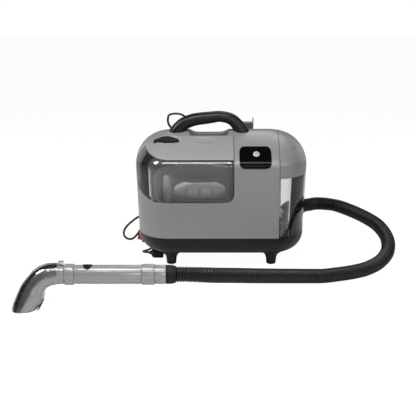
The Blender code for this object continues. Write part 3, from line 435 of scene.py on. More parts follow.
hoseSet = {
    "radius": 0.0171, "groove": 0.0021, "pitch": 0.0058, "perRib": 8,
    "elbowFoot": (0.160, 0.077), "turn": 0.030, "heading": 30.0, "height": 0.105,
    "cuff": 0.026, "gap": 0.0003,
    "route": [
        (0.2980, 0.1360, 0.1000), (0.3340, 0.1105, 0.0930), (0.3700, 0.0660, 0.0840),
        (0.3960, 0.0120, 0.0745), (0.4080, -0.0500, 0.0590), (0.4020, -0.1020, 0.0410),
        (0.3780, -0.1450, 0.0270), (0.3430, -0.1790, 0.0195), (0.3060, -0.2030, 0.0174),
        (0.2700, -0.2200, 0.0172), (0.2350, -0.2360, 0.0178), (0.2000, -0.2540, 0.0227),
        (0.1650, -0.2760, 0.0294), (0.1200, -0.3053, 0.0384), (0.0700, -0.3377, 0.0486),
        (0.0250, -0.3665, 0.0580), (-0.0200, -0.3930, 0.0664), (-0.0450, -0.4015, 0.0699),
        (-0.0700, -0.4048, 0.0717), (-0.0850, -0.4050, 0.0720), (-0.0991, -0.4050, 0.0720),
    ],
}
headingAngle = math.radians(hoseSet["heading"])
hoseHeading = Vector((math.cos(headingAngle), math.sin(headingAngle), 0.0))
elbowEnd = Vector((*hoseSet["elbowFoot"], hoseSet["height"])) + hoseHeading * (hoseSet["turn"] + 0.008)
hoseStart = elbowEnd + hoseHeading * (hoseSet["cuff"] + 3 * hoseSet["gap"])


def tubeAlong(name, points, radii, look, sides):
    curve = bpy.data.curves.new(name, "CURVE")
    curve.dimensions = "3D"
    curve.bevel_depth = 1.0
    curve.bevel_resolution = sides
    curve.use_fill_caps = True
    spline = curve.splines.new("POLY")
    spline.points.add(len(points) - 1)
    for spot, point, radius in zip(spline.points, points, radii):
        spot.co = (*(point + machineAt), 1.0)
        spot.radius = radius
    spline.use_smooth = True
    curve.materials.append(look)
    item = bpy.data.objects.new(name, curve)
    bpy.context.scene.collection.objects.link(item)
    return item


def makeHose():
    s = hoseSet
    points = [hoseStart, hoseStart + hoseHeading * 0.020, hoseStart + hoseHeading * 0.045]
    points += [Vector(p) for p in s["route"]]
    length = sum((b - a).length for a, b in zip(points, points[1:]))
    ribs = round(length / s["pitch"])
    count = ribs * s["perRib"] + 1
    line = smoothRoute(points, count)
    profile = (0.0, 0.10, 0.75, 0.96, 1.0, 0.96, 0.75, 0.10)   # how proud each step of a rib stands
    radii = [s["radius"] - s["groove"] * (1 - profile[i % s["perRib"]]) for i in range(count)]
    hose = tubeAlong("suctionHose", line, radii, hoseBlack, 4)
    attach(hose, "machine")
    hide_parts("hose")
    cuffProfile = [(0.0150, 0.0), (0.0194, 0.0), (0.0202, 0.0022), (0.0202, 0.0060),
                   (0.0197, 0.0066), (0.0197, 0.0076), (0.0202, 0.0082), (0.0202, 0.0140),
                   (0.0194, 0.0200), (0.0184, 0.0258), (0.0140, 0.0258)]
    near = finished(turned(cuffProfile, elbowEnd + hoseHeading * s["gap"], hoseHeading, 56, True,
                           0.0008), "hoseCuff", dullRubber, "machine", ["hose_cuff"])
    farProfile = [(0.0150, 0.0), (0.0172, 0.0), (0.0180, 0.0022), (0.0196, 0.0070),
                  (0.0203, 0.0120), (0.0203, 0.0220), (0.0150, 0.0220)]
    far = finished(turned(farProfile, (-0.0994, tool["y"], tool["z"]), (-1, 0, 0), 56, True, 0.0012),
                   "wandCuff", dullRubber, "machine", ["wand_cuff"])


cordSet = {
    "radius": 0.00275, "middle": -0.030, "low": 0.145, "high": 0.245,
    "outerTurn": 0.03375, "innerTurn": 0.0277, "beside": 0.0402,
    "firstColumn": 0.12425, "columnStep": 0.0061, "columns": 4,
    "lead": [(-0.0997, 0.1250, 0.0950), (-0.0940, 0.1250, 0.0952), (-0.0840, 0.1250, 0.0985),
             (-0.0755, 0.1250, 0.1060), (-0.0712, 0.1250, 0.1165)],
    "tail": [
        (-0.0704, 0.1396, 0.2350), (-0.0760, 0.1310, 0.2640), (-0.0900, 0.1190, 0.2850),
        (-0.1080, 0.1075, 0.3000), (-0.1250, 0.0965, 0.3100), (-0.1335, 0.0910, 0.3240),
        (-0.1335, 0.0900, 0.3390), (-0.1290, 0.0890, 0.3455), (-0.1120, 0.0885, 0.3480),
        (-0.0960, 0.0885, 0.3440), (-0.0860, 0.0905, 0.3330), (-0.0880, 0.0950, 0.3170),
        (-0.0960, 0.1060, 0.2960), (-0.1180, 0.1230, 0.2650), (-0.1450, 0.1280, 0.2200),
        (-0.1640, 0.1250, 0.1650), (-0.1800, 0.1150, 0.1180), (-0.1990, 0.0980, 0.0880),
        (-0.2230, 0.0830, 0.0735), (-0.2430, 0.0790, 0.0560), (-0.2510, 0.0800, 0.0380),
        (-0.2440, 0.0820, 0.0240), (-0.2300, 0.0860, 0.0210), (-0.2180, 0.0930, 0.0300),
        (-0.2090, 0.1010, 0.0420), (-0.1960, 0.1110, 0.0480), (-0.1800, 0.1200, 0.0400),
        (-0.1700, 0.1220, 0.0220), (-0.1700, 0.1100, 0.0075), (-0.1740, 0.0850, 0.0032),
        (-0.1800, 0.0560, 0.0032), (-0.1905, 0.0300, 0.0050), (-0.1960, 0.0060, 0.0095),
        (-0.1895, -0.0085, 0.0117), (-0.1792, -0.0130, 0.0120),
    ],
}


def windingPoints():
    s = cordSet
    turns = []
    for column in range(s["columns"]):
        y = s["firstColumn"] + column * s["columnStep"]
        radii = [s["outerTurn"], s["innerTurn"]]
        turns += [(radius, y) for radius in (radii if column % 2 == 0 else radii[::-1])]
    points = []
    last = (s["beside"], s["firstColumn"])
    for index, (radius, y) in enumerate(turns):
        for k in range(5):          # up the left side, easing across to this turn's own place
            ease = (k + 1) / 5
            r = last[0] + (radius - last[0]) * ease
            z = s["low"] + (s["high"] - s["low"]) * k / 5
            if index or k > 1:
                points.append((s["middle"] - r, last[1] + (y - last[1]) * ease, z))
        for k in range(9):          # over the top
            a = math.pi - math.pi * k / 8
            points.append((s["middle"] + radius * math.cos(a), y, s["high"] + radius * math.sin(a)))
        for k in range(1, 4):       # down the right side
            points.append((s["middle"] + radius, y, s["high"] + (s["low"] - s["high"]) * k / 4))
        for k in range(9):          # under the bottom
            a = -math.pi * k / 8
            points.append((s["middle"] + radius * math.cos(a), y, s["low"] + radius * math.sin(a)))
        last = (radius, y)
    for k in (1, 2, 3):
        r = last[0] + (s["beside"] - last[0]) * k / 3
        points.append((s["middle"] - r, last[1] - 0.0007 * k, s["low"] + 0.018 * k))
    return points


plugSet = {
    "y": -0.0130, "z": 0.0120, "corner": 0.6, "gripFrom": -0.1635, "gripStep": 0.0050, "gripWidth": 0.0022,
    "pinFoot": -0.1460, "pinLength": 0.0210, "pinRadius": 0.0024, "pinApart": 0.0095,
    "rows": [   # half width, half height, x
        (0.0030, 0.0030, -0.1792), (0.0042, 0.0042, -0.1785), (0.0055, 0.0050, -0.1745),
        (0.0120, 0.0085, -0.1725), (0.0160, 0.0108, -0.1695), (0.0175, 0.0118, -0.1650),
        (0.0175, 0.0118, -0.1580), (0.0175, 0.0118, -0.1490), (0.0172, 0.0115, -0.1455),
        (0.0155, 0.0100, -0.1442),
    ],
}


def makePlug():
    s = plugSet

    def surface(u, v):
        wide, high, x = blendRows(s["rows"], v)
        a = 2 * math.pi * u
        return (x, s["y"] + squared(math.cos(a), s["corner"]) * wide,
                s["z"] + squared(math.sin(a), s["corner"]) * high)

    plug = skin(surface, 48, 40)
    for k in range(3):
        x = s["gripFrom"] + s["gripStep"] * k
        for side in (-1, 1):
            y = s["y"] + side * 0.0178
            plug = cut(plug, block((x, y - 0.0009, 0.0055), (x + s["gripWidth"], y + 0.0009, 0.0185),
                                   0.0004))
    radius, length = s["pinRadius"], s["pinLength"]
    for side in (-1, 1):
        pin = turned([(radius, 0.0), (radius, length - 0.0015), (radius / 2, length - 0.0002),
                      (0.0, length)], (s["pinFoot"], s["y"] + side * s["pinApart"], s["z"]), (1, 0, 0), 20)
        finished(pin, "plugPin" + ("Front" if side < 0 else "Rear"), plainSteel, "machine")
    return finished(plug, "mainsPlug", dullRubber, "machine", ["mains_plug"])


def makeCord():
    s = cordSet
    points = s["lead"] + windingPoints() + s["tail"]
    length = sum((Vector(b) - Vector(a)).length for a, b in zip(points, points[1:]))
    line = smoothRoute(points, int(length / 0.0045))
    cord = tubeAlong("mainsCord", line, [s["radius"]] * len(line), cordBlack, 3)
    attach(cord, "machine")
    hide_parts("mains_lead", "cord_coil", "cord_tail")
    plug = makePlug()


makeHose()
makeCord()


def halfLengthAt(z):
    b = body
    if z <= b["dome"]:
        return b["halfLength"] - 0.0065 * (b["dome"] - z) / (b["dome"] - b["baseTop"])
    rise = min((z - b["dome"]) / (b["top"] - b["dome"]), 1.0)
    return 0.11 + (b["halfLength"] - 0.11) * (1 - rise ** 2.2) ** (1 / 2.2)


def frontReachAt(z):
    b = body
    if z <= b["crease"]:
        return b["halfDepth"] - 0.003 * (b["crease"] - z) / (b["crease"] - b["baseTop"])
    return b["halfDepth"] * (1 - ((z - b["crease"]) / (b["top"] - b["crease"])) ** 1.35) ** 0.75


def backReachAt(z):
    b = body
    if z <= b["crease"]:
        return frontReachAt(z)
    return b["halfDepth"] * math.sqrt(1 - ((z - b["crease"]) / (b["top"] - b["crease"])) ** 3)


def planPoint(u, halfLength, halfDepth, shift):
    if u >= 0.5:
        x, y = planPoint(u - 0.5, halfLength, halfDepth, 0.0)
        return -x, shift - y
    reach = body["endReach"] * (halfLength - 0.10) / (body["halfLength"] - 0.10)
    side = halfLength - reach
    if u < 0.32:
        turn = math.pi * (u / 0.32 - 0.5)
        return side + reach * math.cos(turn), shift + halfDepth * math.sin(turn)
    return side * (1 - 2 * (u - 0.32) / 0.18), shift + halfDepth


def bodyBlank(grow=0.0, low=0.0733, around=100, along=44):
    b = body

    def surface(u, v):
        if v < 0.2:
            z = low + (b["dome"] - low) * v / 0.2
        else:
            z = b["dome"] + (b["capAt"] - b["dome"]) * math.sin((v - 0.2) / 0.8 * math.pi / 2)
        front, back = frontReachAt(z), backReachAt(z)
        x, y = planPoint(u, halfLengthAt(z) + grow, (front + back) / 2 + grow, (back - front) / 2)
        return x, y, z + grow * max(0.0, (z - b["dome"]) / (b["top"] - b["dome"]))

    return skin(surface, around, along)


def innerBlank(grow, low):
    return bodyBlank(grow, low, 60, 26)


baseSet = {
    "footX": 0.122, "footY": 0.070, "pad": 0.006, "depth": 0.0415, "rimFrom": 0.9,
    "floorLength": 0.165, "flareLength": 0.0385, "floorDepth": 0.083, "flareDepth": 0.029,
    "leg": [(0.0108, 0.0), (0.0120, 0.0010), (0.0123, 0.006), (0.0128, 0.0100), (0.0138, 0.0140),
            (0.0158, 0.0180), (0.0190, 0.0212), (0.0228, 0.0238), (0.0256, 0.0255), (0.0256, 0.032)],
}
outletAt = (0.172, -0.020, 0.060)   # where the clean water leaves through the base


def makeBase():
    s = baseSet

    def surface(u, v):
        a = math.pi / 2 * min(v / s["rimFrom"], 1.0)
        out, down = math.sin(a) ** 0.909, math.cos(a) ** 0.909
        z = body["baseTop"] - (s["depth"] * down if v <= s["rimFrom"] else 0.0006)
        x, y = planPoint(u, s["floorLength"] + s["flareLength"] * out,
                         s["floorDepth"] + s["flareDepth"] * out, 0.0)
        return x, y, z

    tray = skin(surface, 100, 20)
    for sideX in (-1, 1):
        for sideY in (-1, 1):
            spot = (sideX * s["footX"], sideY * s["footY"], s["pad"] + 0.0003)
            tray = join(tray, turned(s["leg"], spot, soft=0.002))
    tray = cut(tray, block((-0.3, 0.0037, 0.0332), (-0.1902, 0.0423, 0.0628)),
               rod(0.0078, 0.04, outletAt))
    finished(tray, "basePan", grainBlack, "machine", ["base_tray"])
    pad = [(0.0, 0.0), (0.0078, 0.0), (0.0102, 0.0010), (0.0116, 0.0030), (0.0120, s["pad"]),
           (0.0, s["pad"])]
    for name, x, y in (("front_left", -1, -1), ("front_right", 1, -1),
                       ("rear_left", -1, 1), ("rear_right", 1, 1)):
        foot = turned(pad, (x * s["footX"], y * s["footY"], 0.0), soft=0.0006)
        finished(foot, "footPad_" + name, dullRubber, "machine",
                 ["foot_pad_" + name])


split = {
    "tankRight": 0.030, "tankBack": -0.030, "sill": 0.161, "sillFront": -0.105, "sillSlope": 0.43,
    "corner": 0.021, "lidEdge": 0.262, "lidFront": -0.107, "lidSlope": 0.31,
    "backJoin": 0.030, "rightSeam": 0.1375, "cleanBack": 0.055, "cleanTop": 0.2195,
    "trough": (-0.0795, 0.019, 0.302), "troughCorner": (0.026, 0.0172), "roomTop": 0.296,
}


def overSlope(height, slope, front, nearY, top):
    near, far = (height + slope * (y - front) for y in (nearY, 0.02))
    return pushed([(nearY, near), (0.02, far), (0.02, top), (nearY, top)], "x", -0.3, 0.3)


def overSill(gap):
    return overSlope(split["sill"] + gap, split["sillSlope"], split["sillFront"], -0.22, 0.42)


def overLidSeam(gap):
    return overSlope(split["lidEdge"] + gap, split["lidSlope"], split["lidFront"], -0.20, 0.40)


def tankSpace(margin):
    s = split
    right, low = s["tankRight"] - margin, s["sill"] + margin
    arc = [(right - s["corner"] + s["corner"] * math.sin(a), low + s["corner"] * (1 - math.cos(a)))
           for a in (math.pi / 2 * k / 12 for k in range(13))]
    front = pushed([(-0.30, low)] + arc + [(right, 0.40), (-0.30, 0.40)], "y", -0.21, 0.0)
    return keep(front, block((-0.29, -0.2, low - 0.01), (0.05, s["tankBack"] - margin, 0.39)),
                overSill(margin))


def troughSpace():
    left, right, low = split["trough"]
    wide, high = split["troughCorner"]
    corner = [(left + wide * (1 - math.sin(a)), low + high * (1 - math.cos(a)))
              for a in (math.pi / 2 * k / 14 for k in range(14, -1, -1))]
    mirrored = [(left + right - x, z) for x, z in corner[::-1]]
    return pushed([(left, 0.36)] + corner + mirrored + [(right, 0.36)], "y", -0.06, 0.16)


def room(low, high):
    return keep(innerBlank(-body["wall"], 0.060), block(low, high))


def buttonSeat():
    z = 0.275
    slope = (frontReachAt(z + 0.001) - frontReachAt(z - 0.001)) / 0.002
    return Vector((0.0824, -frontReachAt(z), z)), Vector((0.0, -1.0, -slope)).normalized()


def makeCasings():
    s, wall, seam = split, body["wall"], body["seam"]
    front = keep(bodyBlank(), block((-0.3, -0.2, 0.0), (s["rightSeam"], s["backJoin"], 0.4)))
    pocket = keep(innerBlank(-0.0040, 0.0889), block((-0.3, -0.2, 0.08), (0.0262, -0.0325, 0.40)))
    centre, normal = buttonSeat()
    hole = rod(0.0088, 0.04, centre - normal * 0.02, normal)
    front = cut(front, tankSpace(0.0), pocket, troughSpace(),
                room((-0.3, -0.0265, 0.05), (s["rightSeam"] - wall, 0.1, s["roomTop"])),
                room((0.0335, -0.2, 0.05), (s["rightSeam"] - wall, -0.01, s["roomTop"])), hole)
    finished(front, "frontCasing", satinGrey, "machine", ["front_casing"])
    rear = keep(bodyBlank(), block((-0.3, s["backJoin"] + 2 * seam, 0.0), (s["rightSeam"], 0.2, 0.4)))
    slots = [block((0.040, 0.09, 0.150 + 0.014 * row), (0.100, 0.13, 0.156 + 0.014 * row), 0.0028, 3)
             for row in range(5)]
    rear = cut(rear, room((-0.3, 0.0, 0.05), (s["rightSeam"] - wall, 0.2, s["roomTop"])),
               troughSpace(), *slots)
    finished(rear, "rearCasing", satinGrey, "machine", ["rear_casing"])


def makeDirtyTank():
    s, wall = split, body["wall"]
    tank = keep(cut(bodyBlank(), overLidSeam(0.0)), tankSpace(0.0012))
    lower = keep(bodyBlank(-0.0048, 0.0893, 80, 30),
                 block((-0.3, -0.2, 0.08), (0.0254, -0.0333, 0.215)))
    hollow = keep(bodyBlank(-0.0078, 0.0923, 80, 30),
                  block((-0.3, -0.2, 0.08), (0.0224, -0.0363, 0.30)))
    upper = keep(bodyBlank(-wall, 0.1700, 80, 30),
                 block((-0.3, -0.2, 0.16), (s["tankRight"] - 0.0041, s["tankBack"] - 0.0041, 0.30)),
                 overSill(0.0060))
    tank = cut(join(tank, lower), hollow, upper)
    finished(tank, "dirtyTank", smokedPlastic, "dirty_tank", ["dirty_tank"])
    back = pushed([(-0.166, 0.094), (0.0215, 0.094), (0.0215, 0.246), (-0.166, 0.234)], "y",
                  -0.0388, -0.0372, 0.034, 10)
    finished(back, "tankBackPlate", insideGrey, "dirty_tank")


def makeLid():
    s, wall, seam = split, body["wall"], body["seam"]
    part = block((-0.3, -0.2, 0.2), (s["tankRight"] - 3 * seam, s["tankBack"] - 2 * seam, 0.4))
    lid = keep(bodyBlank(), part, overLidSeam(3 * seam))
    under = keep(innerBlank(-wall, 0.2400),
                 block((-0.3, -0.2, 0.23), (s["tankRight"] - 0.0037, s["tankBack"] - 0.0037, 0.4)))
    spout = rod(0.007, 0.06, (-0.133, -0.052, 0.27))
    grip = bmesh.new()
    bmesh.ops.create_uvsphere(grip, u_segments=48, v_segments=24, radius=1.0)
    bmesh.ops.scale(grip, verts=grip.verts, vec=(0.036, 0.0170, 0.0060))
    bmesh.ops.rotate(grip, verts=grip.verts, matrix=Matrix.Rotation(math.radians(27), 3, "X"))
    z = 0.3020
    bmesh.ops.translate(grip, verts=grip.verts, vec=(-0.0410, -frontReachAt(z) - 0.0012, z + 0.0027))
    lid = cut(lid, under, spout, rough(grip))
    finished(lid, "tankLid", lidGrey, "tank_lid", ["dirty_tank_lid"])


def makeStopper():
    half = [(-0.1640, 0.0030), (-0.1622, 0.0056), (-0.1590, 0.0040), (-0.1560, 0.0036),
            (-0.1510, 0.0070), (-0.1400, 0.0108), (-0.1260, 0.0112), (-0.1120, 0.0072),
            (-0.1030, 0.0020)]
    middle = {x: -0.0430 - 0.20 * (x + 0.165) for x, w in half}    # the leaf lies a little aslant
    outline = [(x, middle[x] - 0.82 * w) for x, w in half]
    outline += [(x, middle[x] + 0.82 * w) for x, w in half[::-1]]
    leaf = pushed(outline, "z", 0.26, 0.34, 0.006, 4)
    leaf = cut(keep(leaf, bodyBlank(0.0040)), bodyBlank(0.0009))
    finished(leaf, "stopperLeaf", dullRubber, "stopper", ["tank_stopper"], sharp=50)


basketSet = {
    "at": (-0.053, -0.074),
    "rows": [(0.024, 0.010, 0.164), (0.043, 0.0180, 0.1655), (0.057, 0.0250, 0.1700),
             (0.0640, 0.0285, 0.1765), (0.0655, 0.0295, 0.1830), (0.0620, 0.0280, 0.1895),
             (0.0530, 0.0240, 0.1950), (0.0420, 0.0200, 0.1985), (0.0400, 0.0190, 0.1995)],
}


def makeTankInside():
    riser = [(0.0, 0.0), (0.0110, 0.0), (0.0110, 0.119), (0.0103, 0.1245), (0.0080, 0.1285),
             (0.0045, 0.1303), (0.0, 0.1306)]
    finished(turned(riser, (-0.1306, -0.074, 0.0928), soft=0.002), "riserTube", milkyPlastic,
             "dirty_tank", ["riser_tube"], 50)
    s = basketSet

    def side(grow):
        def surface(u, v):
            wide, deep, z = blendRows(s["rows"], v)
            a = 2 * math.pi * u
            return (s["at"][0] + (wide + grow) * math.cos(a), s["at"][1] + (deep + grow) * math.sin(a),
                    z + (0.0024 if grow < 0 else 0.0) + (0.004 * v if grow < 0 else 0.0))
        return surface

    bowl = cut(skin(side(0.0), 72, 32), skin(side(-0.0026), 72, 32))
    windows = []
    for k in range(12):
        a = 2 * math.pi * (k + 0.5) / 12
        x, y = s["at"][0] + 0.0635 * math.cos(a), s["at"][1] + 0.0270 * math.sin(a)
        turn = Matrix.Rotation(math.atan2(0.0276 * math.cos(a), -0.0645 * math.sin(a)), 3, "Z")
        windows.append(block((x - 0.0118, y - 0.007, 0.1785), (x + 0.0118, y + 0.007, 0.1925),
                             0.0012, 2, turn))
    bowl = cut(bowl, *windows)
    finished(bowl, "strainerBasket", milkyPlastic, "dirty_tank", ["strainer_basket"], 40)
    sleeve = cut(skin(side(-0.0030), 72, 24), skin(side(-0.0042), 72, 24))
    finished(sleeve, "strainerSleeve", paleMesh, "dirty_tank", sharp=40)
    ball = [(0.0, -0.0108), (0.0040, -0.0108), (0.0085, -0.0080), (0.0110, -0.0035), (0.0115, 0.0),
            (0.0110, 0.0035), (0.0085, 0.0080), (0.0040, 0.0108), (0.0, 0.0108)]
    finished(turned(ball, (*s["at"], 0.1790), soft=0.002), "floatBall", filterFoam, "float",
             ["float"], 60)


def makeCleanTank():
    s, wall, seam = split, body["wall"], body["seam"]
    low = body["baseTop"]
    part = block((s["rightSeam"] + seam, -0.2, 0.0), (0.3, s["cleanBack"], s["cleanTop"] - seam))
    tank = keep(bodyBlank(), part)
    hollow = keep(bodyBlank(-wall, low + wall, 80, 30),
                  block((s["rightSeam"] + 0.0034, -0.2, 0.05), (0.3, s["cleanBack"] - wall, 0.25)))
    outlet = rod(0.0070, 0.04, outletAt)
    finished(cut(tank, hollow, outlet), "cleanTank", clearPlastic, "clean_tank",
             ["clean_tank"])
    valve = [(0.0, 0.0), (0.0060, 0.0), (0.0066, 0.002), (0.0066, 0.0146), (0.0110, 0.0146),
             (0.0110, 0.0178), (0.0045, 0.0178), (0.0045, 0.0230), (0.0, 0.0230)]
    finished(turned(valve, (*outletAt[:2], 0.0620)), "outletValve", milkyPlastic, "clean_tank",
             ["clean_tank_valve"])


def makeCap():
    s, wall, seam = split, body["wall"], body["seam"]
    cap = keep(bodyBlank(), block((s["rightSeam"] + 2.5 * seam, -0.2, s["cleanTop"] + seam),
                                  (0.3, 0.2, 0.4)))
    under = keep(innerBlank(-wall, 0.2000),
                 block((s["rightSeam"] + 0.0038, -0.2, 0.1), (0.3, 0.2, 0.4)))
    lean = Matrix.Rotation(math.radians(48), 3, "Y")
    vent = block((0.1665, -0.0060, 0.2965), (0.1925, 0.0120, 0.3035), 0.0012, 2, lean)
    notch = block((0.1752, -0.0500, 0.2788), (0.1892, -0.0425, 0.2858), 0.0012, 2, lean)
    finished(cut(cap, under, vent, notch), "cleanTankCap", satinGrey, "clean_cap",
             ["clean_tank_cap"])


handleSpine = [
    (-0.1155, 0.2960, 0.0185, 0.0190), (-0.1103, 0.3130, 0.0182, 0.0185),
    (-0.1016, 0.3257, 0.0166, 0.0175), (-0.0912, 0.3354, 0.0156, 0.0168),
    (-0.0757, 0.3423, 0.0154, 0.0163), (-0.0600, 0.3465, 0.0152, 0.0160),
    (-0.0424, 0.3487, 0.0150, 0.0160), (-0.0226, 0.3511, 0.0143, 0.0160),
    (-0.0044, 0.3531, 0.0134, 0.0160), (0.0164, 0.3497, 0.0137, 0.0162),
    (0.0290, 0.3430, 0.0143, 0.0165), (0.0385, 0.3335, 0.0152, 0.0170),
    (0.0460, 0.3235, 0.0168, 0.0178), (0.0515, 0.3130, 0.0184, 0.0186),
    (0.0570, 0.2960, 0.0188, 0.0190),
]


def makeHandle():
    def surface(u, v):
        x, z, thick, deep = blendRows(handleSpine, v)
        x0, z0 = blendRows(handleSpine, max(v - 0.01, 0.0))[:2]
        x1, z1 = blendRows(handleSpine, min(v + 0.01, 1.0))[:2]
        run = Vector((x1 - x0, 0.0, z1 - z0)).normalized()
        a = 2 * math.pi * u
        across = squared(math.cos(a), 0.909) * deep
        up = squared(math.sin(a), 0.909) * thick
        return (x - run.z * up, across, z + run.x * up)

    finished(skin(surface, 40, 90), "carryHandle", gripBlack, "machine",
             ["carry_handle"], 60)


def makePanel():
    outline = []
    for x, z, r, start in ((0.0420, 0.2445, 0.014, 180), (0.1180, 0.2445, 0.014, 270),
                           (0.1180, 0.2912, 0.012, 0), (0.0420, 0.2912, 0.012, 90)):
        signX, signZ = (1 if x < 0.08 else -1), (1 if z < 0.26 else -1)
        for k in range(9):
            a = math.radians(start + 90 * k / 8)
            outline.append((x + signX * r + r * math.cos(a), z + signZ * r + r * math.sin(a)))
    panel = pushed(outline, "y", -0.15, -0.02)
    panel = cut(keep(panel, bodyBlank(0.0014)), bodyBlank(0.0003))
    centre, normal = buttonSeat()
    hole = rod(0.0087, 0.06, centre - normal * 0.03, normal)
    finished(cut(panel, hole), "controlPanel", panelBlack, "machine",
             ["control_panel"])
    cap = [(0.0, -0.0040), (0.0070, -0.0040), (0.0080, -0.0032), (0.0080, 0.0016),
           (0.0074, 0.0024), (0.0050, 0.0024), (0.0, 0.0020)]
    finished(turned(cap, centre, normal), "powerButton", buttonSilver, "button",
             ["power_button"])
    ring = bmesh.new()
    corners = [ring.verts.new((x, 0.0, z)) for x, z in
               ((0.0026, 0.0), (0.0032, 0.0), (0.0032, 0.0004), (0.0026, 0.0004))]
    start = Matrix.Rotation(math.radians(120), 3, "Z")
    bmesh.ops.rotate(ring, verts=ring.verts, matrix=start)
    ring.faces.new(corners)
    bmesh.ops.spin(ring, geom=ring.faces[:] + ring.verts[:] + ring.edges[:], cent=(0, 0, 0),
                   axis=(0, 0, 1), dvec=(0, 0, 0), angle=math.radians(300), steps=40)
    bar = bmesh.ops.create_cube(ring, size=1.0)["verts"]
    bmesh.ops.scale(ring, verts=bar, vec=(0.0006, 0.0026, 0.0004))
    bmesh.ops.translate(ring, verts=bar, vec=(0.0, 0.0026, 0.0002))
    up = Vector((0, 0, 1)).rotation_difference(normal).to_matrix().to_4x4()
    bmesh.ops.transform(ring, verts=ring.verts, matrix=Matrix.Translation(centre + normal * 0.0020) @ up)
    finished(rough(ring), "powerMark", panelBlack, "button")


def makeDot():
    z = 0.3030
    seat = (0.1262, -frontReachAt(z), z)
    dome = [(0.0, -0.0010), (0.0011, -0.0010), (0.0012, 0.0002), (0.0007, 0.0006), (0.0, 0.0007)]
    finished(turned(dome, seat, (0.0, -0.55, 0.84), 20), "seamPin", buttonSilver, "machine")


def makeRocker():
    bezel = block((-0.1990, 0.004, 0.0335), (-0.1905, 0.042, 0.0625), 0.0015, 3)
    bezel = cut(bezel, block((-0.2100, 0.0080, 0.0375), (-0.1930, 0.0380, 0.0585)))
    finished(bezel, "switchBezel", grainBlack, "machine", ["switch_bezel"])
    outline = [(-0.1965, 0.0385), (-0.2010, 0.0382), (-0.2110, 0.0400), (-0.2055, 0.0485),
               (-0.2080, 0.0572), (-0.2010, 0.0578), (-0.1965, 0.0575)]
    rocker = pushed(outline, "y", 0.0088, 0.0372, 0.0006, 3, 0.0006)
    finished(rocker, "mainsRocker", switchRed, "rocker", ["rocker_switch"])


def makeBack():
    for name, z, up in (("cord_hook_upper", 0.245, True), ("cord_hook_lower", 0.145, False)):
        lip = z + 0.030 if up else z - 0.030
        near, far = z - 0.007 if up else z + 0.007, z + 0.007 if up else z - 0.007
        outline = [(0.1153, near), (0.1530, near), (0.1530, lip), (0.1490, lip), (0.1490, far),
                   (0.1153, far)]
        hook = pushed(outline, "x", -0.043, -0.017, 0.0015, 4, 0.0008)
        finished(hook, "hook" + ("Upper" if up else "Lower"), grainBlack, "machine",
                 [name])
    profile = [(0.1153, 0.236), (0.1213, 0.236), (0.1213, 0.290), (0.1420, 0.296), (0.1420, 0.301),
               (0.1213, 0.301), (0.1213, 0.318), (0.1050, 0.326), (0.0980, 0.326), (0.0980, 0.322),
               (0.1153, 0.300)]
    bracket = pushed(profile, "x", 0.036, 0.0833, 0.0025, 4)
    bracket = cut(bracket, bodyBlank(0.0003))
    bracket = join(bracket, block((0.0803, 0.0990, 0.3230), (0.0833, 0.1060, 0.3355), 0.0006))
    finished(bracket, "toolBracket", satinGrey, "machine", ["tool_bracket"])
    gland = block((-0.1450, 0.1153, 0.0850), (-0.1250, 0.1340, 0.1050), 0.0025, 3)
    ribs = [(0.0, 0.0), (0.0072, 0.0)]
    for k in range(5):
        x = 0.0030 + 0.0045 * k
        r = 0.0068 - 0.00055 * k
        ribs += [(r, x), (r, x + 0.0026), (r - 0.0011, x + 0.0028), (r - 0.0011, x + 0.0042)]
    ribs += [(0.0038, 0.0258), (0.0, 0.0258)]
    gland = join(gland, turned(ribs, (-0.1258, 0.1250, 0.0950), (1, 0, 0), 32, soft=0.0003))
    finished(gland, "cordGland", dullRubber, "machine", ["cord_gland"])
    for name, x, z in (("low_left", -0.118, 0.130), ("low_right", 0.122, 0.100),
                       ("high_left", -0.118, 0.215), ("high_right", 0.122, 0.225)):
        foot = (x, backReachAt(z) + 0.0002, z)
        head = turned([(0.0, 0.0), (0.0033, 0.0), (0.0033, 0.0010), (0.0020, 0.0020), (0.0, 0.0021)],
                      foot, (0, 1, 0), 32, soft=0.0003)
        y = foot[1] + 0.0019
        for wide, high in ((0.0018, 0.0003), (0.0003, 0.0018)):
            head = cut(head, block((x - wide, y - 0.0008, z - high), (x + wide, y + 0.001, z + high)))
        finished(head, "caseScrew_" + name, plainSteel, "machine", ["case_screw_" + name])


def makeElbow():
    s = hoseSet
    foot = Vector((*s["elbowFoot"], 0.0))
    centre = foot + hoseHeading * s["turn"] + Vector((0, 0, s["height"] - s["turn"]))
    side = Vector((-hoseHeading.y, hoseHeading.x, 0.0))

    def surface(radius):
        def at(u, v):
            if v < 0.08:
                point, run = foot + Vector((0, 0, 0.0733)), Vector((0, 0, 1))
            elif v > 0.92:
                point, run = elbowEnd, hoseHeading
            else:
                a = math.pi / 2 * (v - 0.08) / 0.84
                point = centre - hoseHeading * s["turn"] * math.cos(a) + Vector(
                    (0, 0, s["turn"] * math.sin(a)))
                run = hoseHeading * math.sin(a) + Vector((0, 0, math.cos(a)))
            turn = 2 * math.pi * u
            return point + side * radius * math.cos(turn) + run.cross(side) * radius * math.sin(turn)
        return at

    elbow = skin(surface(0.0180), 48, 26)
    collar = turned([(0.0, 0.0), (0.0215, 0.0), (0.0215, 0.004), (0.0190, 0.0065), (0.0, 0.0065)],
                    foot + Vector((0, 0, 0.0733)), soft=0.001)
    finished(join(elbow, collar), "hoseElbow", grainBlack, "machine",
             ["hose_elbow"], 50)


triggerAt = -0.2875


def alongTool(start, profile, soft=0.0008):
    return turned(profile, (start, tool["y"], tool["z"]), (-1, 0, 0), 72, True, soft)


